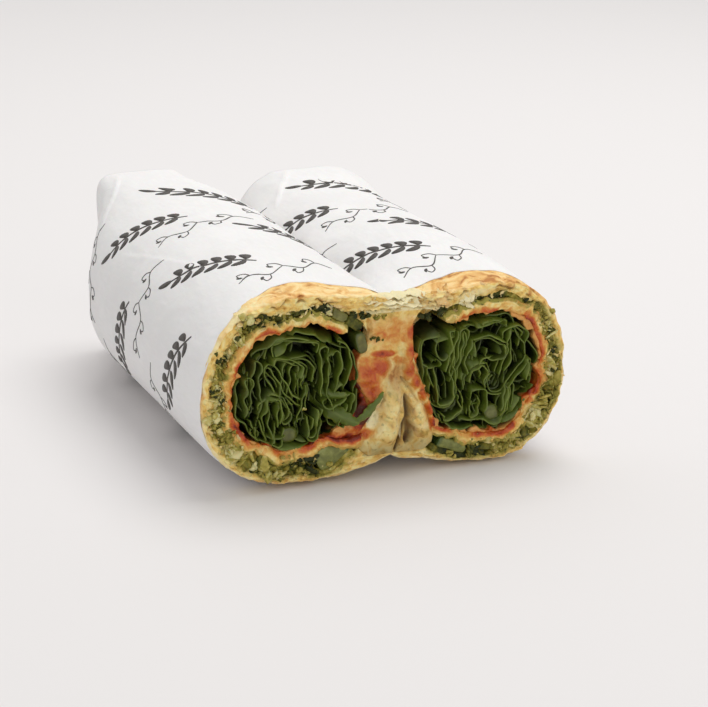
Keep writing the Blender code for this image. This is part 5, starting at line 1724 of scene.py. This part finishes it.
def vine(x, y, turn, size, half_width):
    """A winding tendril with curls and small buds, in mm."""
    bends = [(-1.2, 0.0), (-0.8, 0.2), (-0.4, -0.1), (0.0, 0.17), (0.42, -0.16), (0.8, 0.14), (1.2, -0.02)]
    thin = half_width / size
    shapes = [(bends[:4], thin, 0.2), (bends[3:], thin, 0.2)]
    for k, (px, pz) in enumerate(bends[1:-1]):
        side = 1 if k % 2 == 0 else -1
        curl = ((0, 0), (0.07, 0.18), (0.22, 0.24), (0.25, 0.1))
        bud = ((0.19, 0.02), (0.25, 0.06), (0.3, 0.13))
        shapes.append(([(px + u, pz + v * side) for u, v in curl], thin * 0.9, 0.2))
        shapes.append(([(px + u, pz + v * side) for u, v in bud], 0.04, 0.6))
    return place_shapes(shapes, x, y, turn, size)


def place_shapes(shapes, x, y, turn, size):
    """Strokes for shapes given in units of size, turned and moved to x, y."""
    placed = []
    for line, half_width, power in shapes:
        flat = stroke(np.array(line) * size, half_width * size, power)
        u, v = turned(flat[..., 0], flat[..., 1], turn)
        placed.append(np.stack([x + u, y + v], axis=-1))
    return placed


def paper_print(roll, material, settings):
    """Sprays and tendrils printed in slanting rows on one roll's paper."""
    surface = paper_surface(roll, settings, 0.0)
    girth = math.pi * (roll.half_width + roll.half_height)
    draw = random.Random(roll.seed + 130)
    half = settings.print_width / MM / 2
    flats = []
    for row, y in enumerate(np.arange(PRINT_FROM, roll.end_y - 19, PRINT_STEP)):
        for column in range(4):
            arc = (column + 0.37 * row) * girth / 4 + draw.uniform(-3, 3)
            turn = 30.0 + draw.uniform(-12, 12)
            if (row + column) % 2 == 0:
                flats += leaf_spray(arc, y + draw.uniform(-2, 2), turn, SPRAY_SIZE)
            else:
                flats += vine(arc, y + draw.uniform(-2, 2), turn - 48, VINE_SIZE, half)
    flat = np.stack(flats)
    flat[..., 1] = np.clip(flat[..., 1], 12.5, roll.end_y - 2)
    points = on_paper(surface, flat[..., 0] / girth, flat[..., 1] * MM)
    edge = points[:, :, 1] - points[:, :, 0]
    along = np.gradient(points.mean(axis=2), axis=1)
    normal = np.cross(edge, along)
    normal /= np.linalg.norm(normal, axis=-1, keepdims=True) + 1e-12
    outward = points.mean(axis=2) - np.array([roll.axis_x * MM, 0, roll.half_height * MM])
    outward[..., 1] = 0
    normal *= np.sign(np.einsum("...i,...i", normal, outward))[..., None]
    normal = normal[:, :, None]
    under = (points - normal * PRINT_DEPTH)[:, :, ::-1]
    grids = np.concatenate([points + normal * PRINT_LIFT, under], axis=2)
    settle_piece(sweep_object(f"paper_print_{roll.side}", grids, material), "wrap_paper")


# ---- operators ----

class WRAP_OT_bread(bpy.types.Operator):
    """Build both rolls' outer and inner bread and the uncut middle"""

    bl_idname = "wrap.bread"
    bl_label = "Bread"

    def execute(self, context):
        settings = context.scene.wrap_bread
        material = bread_finish(settings)
        for roll in ROLLS:
            outer_bread(roll, material, settings)
            inner_bread(roll, material, settings)
            crumb_shreds(roll, material, settings)
        middle_bread(material, settings)
        crust_flakes(material)
        torn_sheets(material)
        return {"FINISHED"}


class WRAP_OT_sauce(bpy.types.Operator):
    """Build the tomato sauce of both rolls"""

    bl_idname = "wrap.sauce"
    bl_label = "Tomato sauce"

    def execute(self, context):
        settings = context.scene.wrap_filling
        material = sauce_finish(settings)
        for roll in ROLLS:
            sauce_layer(roll, material, settings)
        return {"FINISHED"}


class WRAP_OT_herbs(bpy.types.Operator):
    """Build the herb layers, the chopped bits in them and the cheese"""

    bl_idname = "wrap.herbs"
    bl_label = "Herbs and cheese"

    def execute(self, context):
        settings = context.scene.wrap_filling
        material = herb_finish(settings)
        for roll in ROLLS:
            herb_layer(roll, material, settings)
            herb_bits(roll, material, settings)
        herb_pocket(material, settings)
        layer_chunks(material)
        return {"FINISHED"}


class WRAP_OT_vegetables(bpy.types.Operator):
    """Build the cucumber, the green pepper and the leaf stalks"""

    bl_idname = "wrap.vegetables"
    bl_label = "Vegetables"

    def execute(self, context):
        filling, salad = context.scene.wrap_filling, context.scene.wrap_salad
        flesh = flesh_finish("cucumber_moist", filling.cucumber_colour, filling.cucumber_rind, 0.35)
        pepper = flesh_finish("green_pepper_moist", filling.pepper_colour, filling.cucumber_rind, 0.3)
        stalk = flesh_finish("leaf_stalk_moist", salad.stalk_colour, salad.leaf_colour, 0.35)
        for roll in ROLLS:
            cucumber(roll, flesh)
            x, z, wide, tall = roll.stalk
            piece = rounded_bar(f"stalk_{roll.side}_end", (x, z), (wide, tall), 0.0, roll, 0.6 * MM,
                                STALK_LENGTH, stalk, 2.3, 0.5)
            settle_piece(piece, "leaf_stalk", f"stalk_{roll.side}")
        upper = between_boundaries("green_pepper_upper_slice", LEFT, (-0.1, 0.2), UPPER_PEPPER_SPAN,
                                   -0.9 * MM, PEPPER_LENGTH, pepper)
        settle_piece(upper, "green_pepper", "green_pepper_upper")
        x, z, wide, tall, tilt = LOWER_PEPPER
        lower = rounded_bar("green_pepper_lower_slice", (x, z), (wide, tall), tilt, LEFT, -0.75 * MM,
                            PEPPER_LENGTH, pepper, 3.0, 0.6)
        settle_piece(lower, "green_pepper", "green_pepper_lower")
        return {"FINISHED"}


class WRAP_OT_salad(bpy.types.Operator):
    """Build the folded salad leaves of both rolls and the loose sprig"""

    bl_idname = "wrap.salad"
    bl_label = "Salad leaves"

    def execute(self, context):
        settings = context.scene.wrap_salad
        material = leaf_finish(settings)
        for roll in ROLLS:
            salad_bundle(roll, material, settings)
            salad_core(roll, material)
        sprig(material, settings)
        return {"FINISHED"}


class WRAP_OT_paper(bpy.types.Operator):
    """Build the paper round both rolls and its print"""

    bl_idname = "wrap.paper"
    bl_label = "Paper"

    def execute(self, context):
        settings = context.scene.wrap_paper
        paper, ink = paper_finish(settings), ink_finish(settings)
        for roll in ROLLS:
            paper_tube(roll, paper, settings)
            paper_print(roll, ink, settings)
        return {"FINISHED"}


# ---- stage ----

CAMERA_PLACE = Vector((-0.2858, -0.5851, 0.2343)) + Vector(SHIFT)
CAMERA_PITCH = math.radians(16.9349)
CAMERA_YAW = math.radians(24.8735)
CAMERA_ROLL = math.radians(1.354)
CAMERA_LENS = 122.03
CAMERA_SENSOR = 36.0
KEY_LIGHT = (0.35, 0.25, 1.25), 1.1, (1.0, 0.985, 0.965)  # place, size (m) and colour
FILL_LIGHT = (-0.15, -1.4, 0.75), 1.2, (1.0, 0.985, 0.96)
LIGHT_AIM = Vector((0.0, 0.0, 0.03))
SKY_COLOUR = (1.0, 0.99, 0.98, 1.0)


def add_camera():
    """The camera: yaw about Z from +Y towards +X, pitch down, then roll."""
    ahead = Vector((math.sin(CAMERA_YAW) * math.cos(CAMERA_PITCH),
                    math.cos(CAMERA_YAW) * math.cos(CAMERA_PITCH), -math.sin(CAMERA_PITCH)))
    right = Vector((math.cos(CAMERA_YAW), -math.sin(CAMERA_YAW), 0.0))
    up = right.cross(ahead)
    cos, sin = math.cos(CAMERA_ROLL), math.sin(CAMERA_ROLL)
    right, up = cos * right + sin * up, cos * up - sin * right
    camera = add_object("camera", bpy.data.cameras.new("camera"))
    camera.data.lens = CAMERA_LENS
    camera.data.sensor_width = CAMERA_SENSOR
    camera.data.clip_end = 100.0
    facing = Matrix((right, up, -ahead)).transposed().to_4x4()
    camera.matrix_world = Matrix.Translation(CAMERA_PLACE) @ facing
    bpy.context.scene.camera = camera


def add_area_light(name, power, place, size, colour):
    light = bpy.data.lights.new(name, "AREA")
    light.shape = "DISK"
    light.size = size
    light.energy = power
    light.color = colour
    lamp = add_object(name, light)
    lamp.location = place
    lamp.rotation_euler = (LIGHT_AIM - Vector(place)).to_track_quat("-Z", "Y").to_euler()


class WRAP_OT_stage(bpy.types.Operator):
    """Set up the floor, the lights, the surroundings and the camera"""

    bl_idname = "wrap.stage"
    bl_label = "Stage"

    def execute(self, context):
        settings = context.scene.wrap_stage
        mesh = bpy.data.meshes.new("floor")
        half = settings.floor_size / 2
        corners = [(-half, -half, 0), (half, -half, 0), (half, half, 0), (-half, half, 0)]
        mesh.from_pydata(corners, [], [(0, 1, 2, 3)])
        look = Finish("floor_matt", Roughness=0.8, Base_Color=(*settings.floor_colour, 1.0))
        mesh.materials.append(look.material)
        add_object("floor", mesh)
        world = bpy.data.worlds.new("surroundings")
        world.use_nodes = True
        sky = world.node_tree.nodes["Background"]
        sky.inputs["Color"].default_value = SKY_COLOUR
        sky.inputs["Strength"].default_value = settings.sky
        context.scene.world = world
        add_area_light("key_light", settings.key_power, *KEY_LIGHT)
        add_area_light("fill_light", settings.fill_power, *FILL_LIGHT)
        add_camera()
        context.scene.view_settings.view_transform = "Standard"
        return {"FINISHED"}


class WRAP_PT_panel(bpy.types.Panel):
    """Lists the wrap's pieces and their settings"""

    bl_idname = "WRAP_PT_panel"
    bl_label = "Salad naan wrap"
    bl_space_type = "VIEW_3D"
    bl_region_type = "UI"
    bl_category = "Wrap"

    def draw(self, context):
        for operator in OPERATORS:
            self.layout.operator(operator.bl_idname)
        for name in SETTINGS:
            box = self.layout.box()
            group = getattr(context.scene, name)
            for key in group.__annotations__:
                box.prop(group, key)


SETTINGS = {
    "wrap_bread": BreadSettings,
    "wrap_filling": FillingSettings,
    "wrap_salad": SaladSettings,
    "wrap_paper": PaperSettings,
    "wrap_stage": StageSettings,
}
OPERATORS = (WRAP_OT_bread, WRAP_OT_sauce, WRAP_OT_herbs, WRAP_OT_vegetables, WRAP_OT_salad,
             WRAP_OT_paper, WRAP_OT_stage)


def register():
    for name, group in SETTINGS.items():
        bpy.utils.register_class(group)
        setattr(bpy.types.Scene, name, PointerProperty(type=group))
    for operator in OPERATORS:
        bpy.utils.register_class(operator)
    bpy.utils.register_class(WRAP_PT_panel)


def unregister():
    bpy.utils.unregister_class(WRAP_PT_panel)
    for operator in reversed(OPERATORS):
        bpy.utils.unregister_class(operator)
    for name, group in SETTINGS.items():
        delattr(bpy.types.Scene, name)
        bpy.utils.unregister_class(group)


def main():
    register()
    bpy.ops.wrap.bread()
    bpy.ops.wrap.sauce()
    bpy.ops.wrap.herbs()
    bpy.ops.wrap.vegetables()
    bpy.ops.wrap.salad()
    bpy.ops.wrap.paper()
    bpy.ops.wrap.stage()


if __name__ == "__main__":
    main()
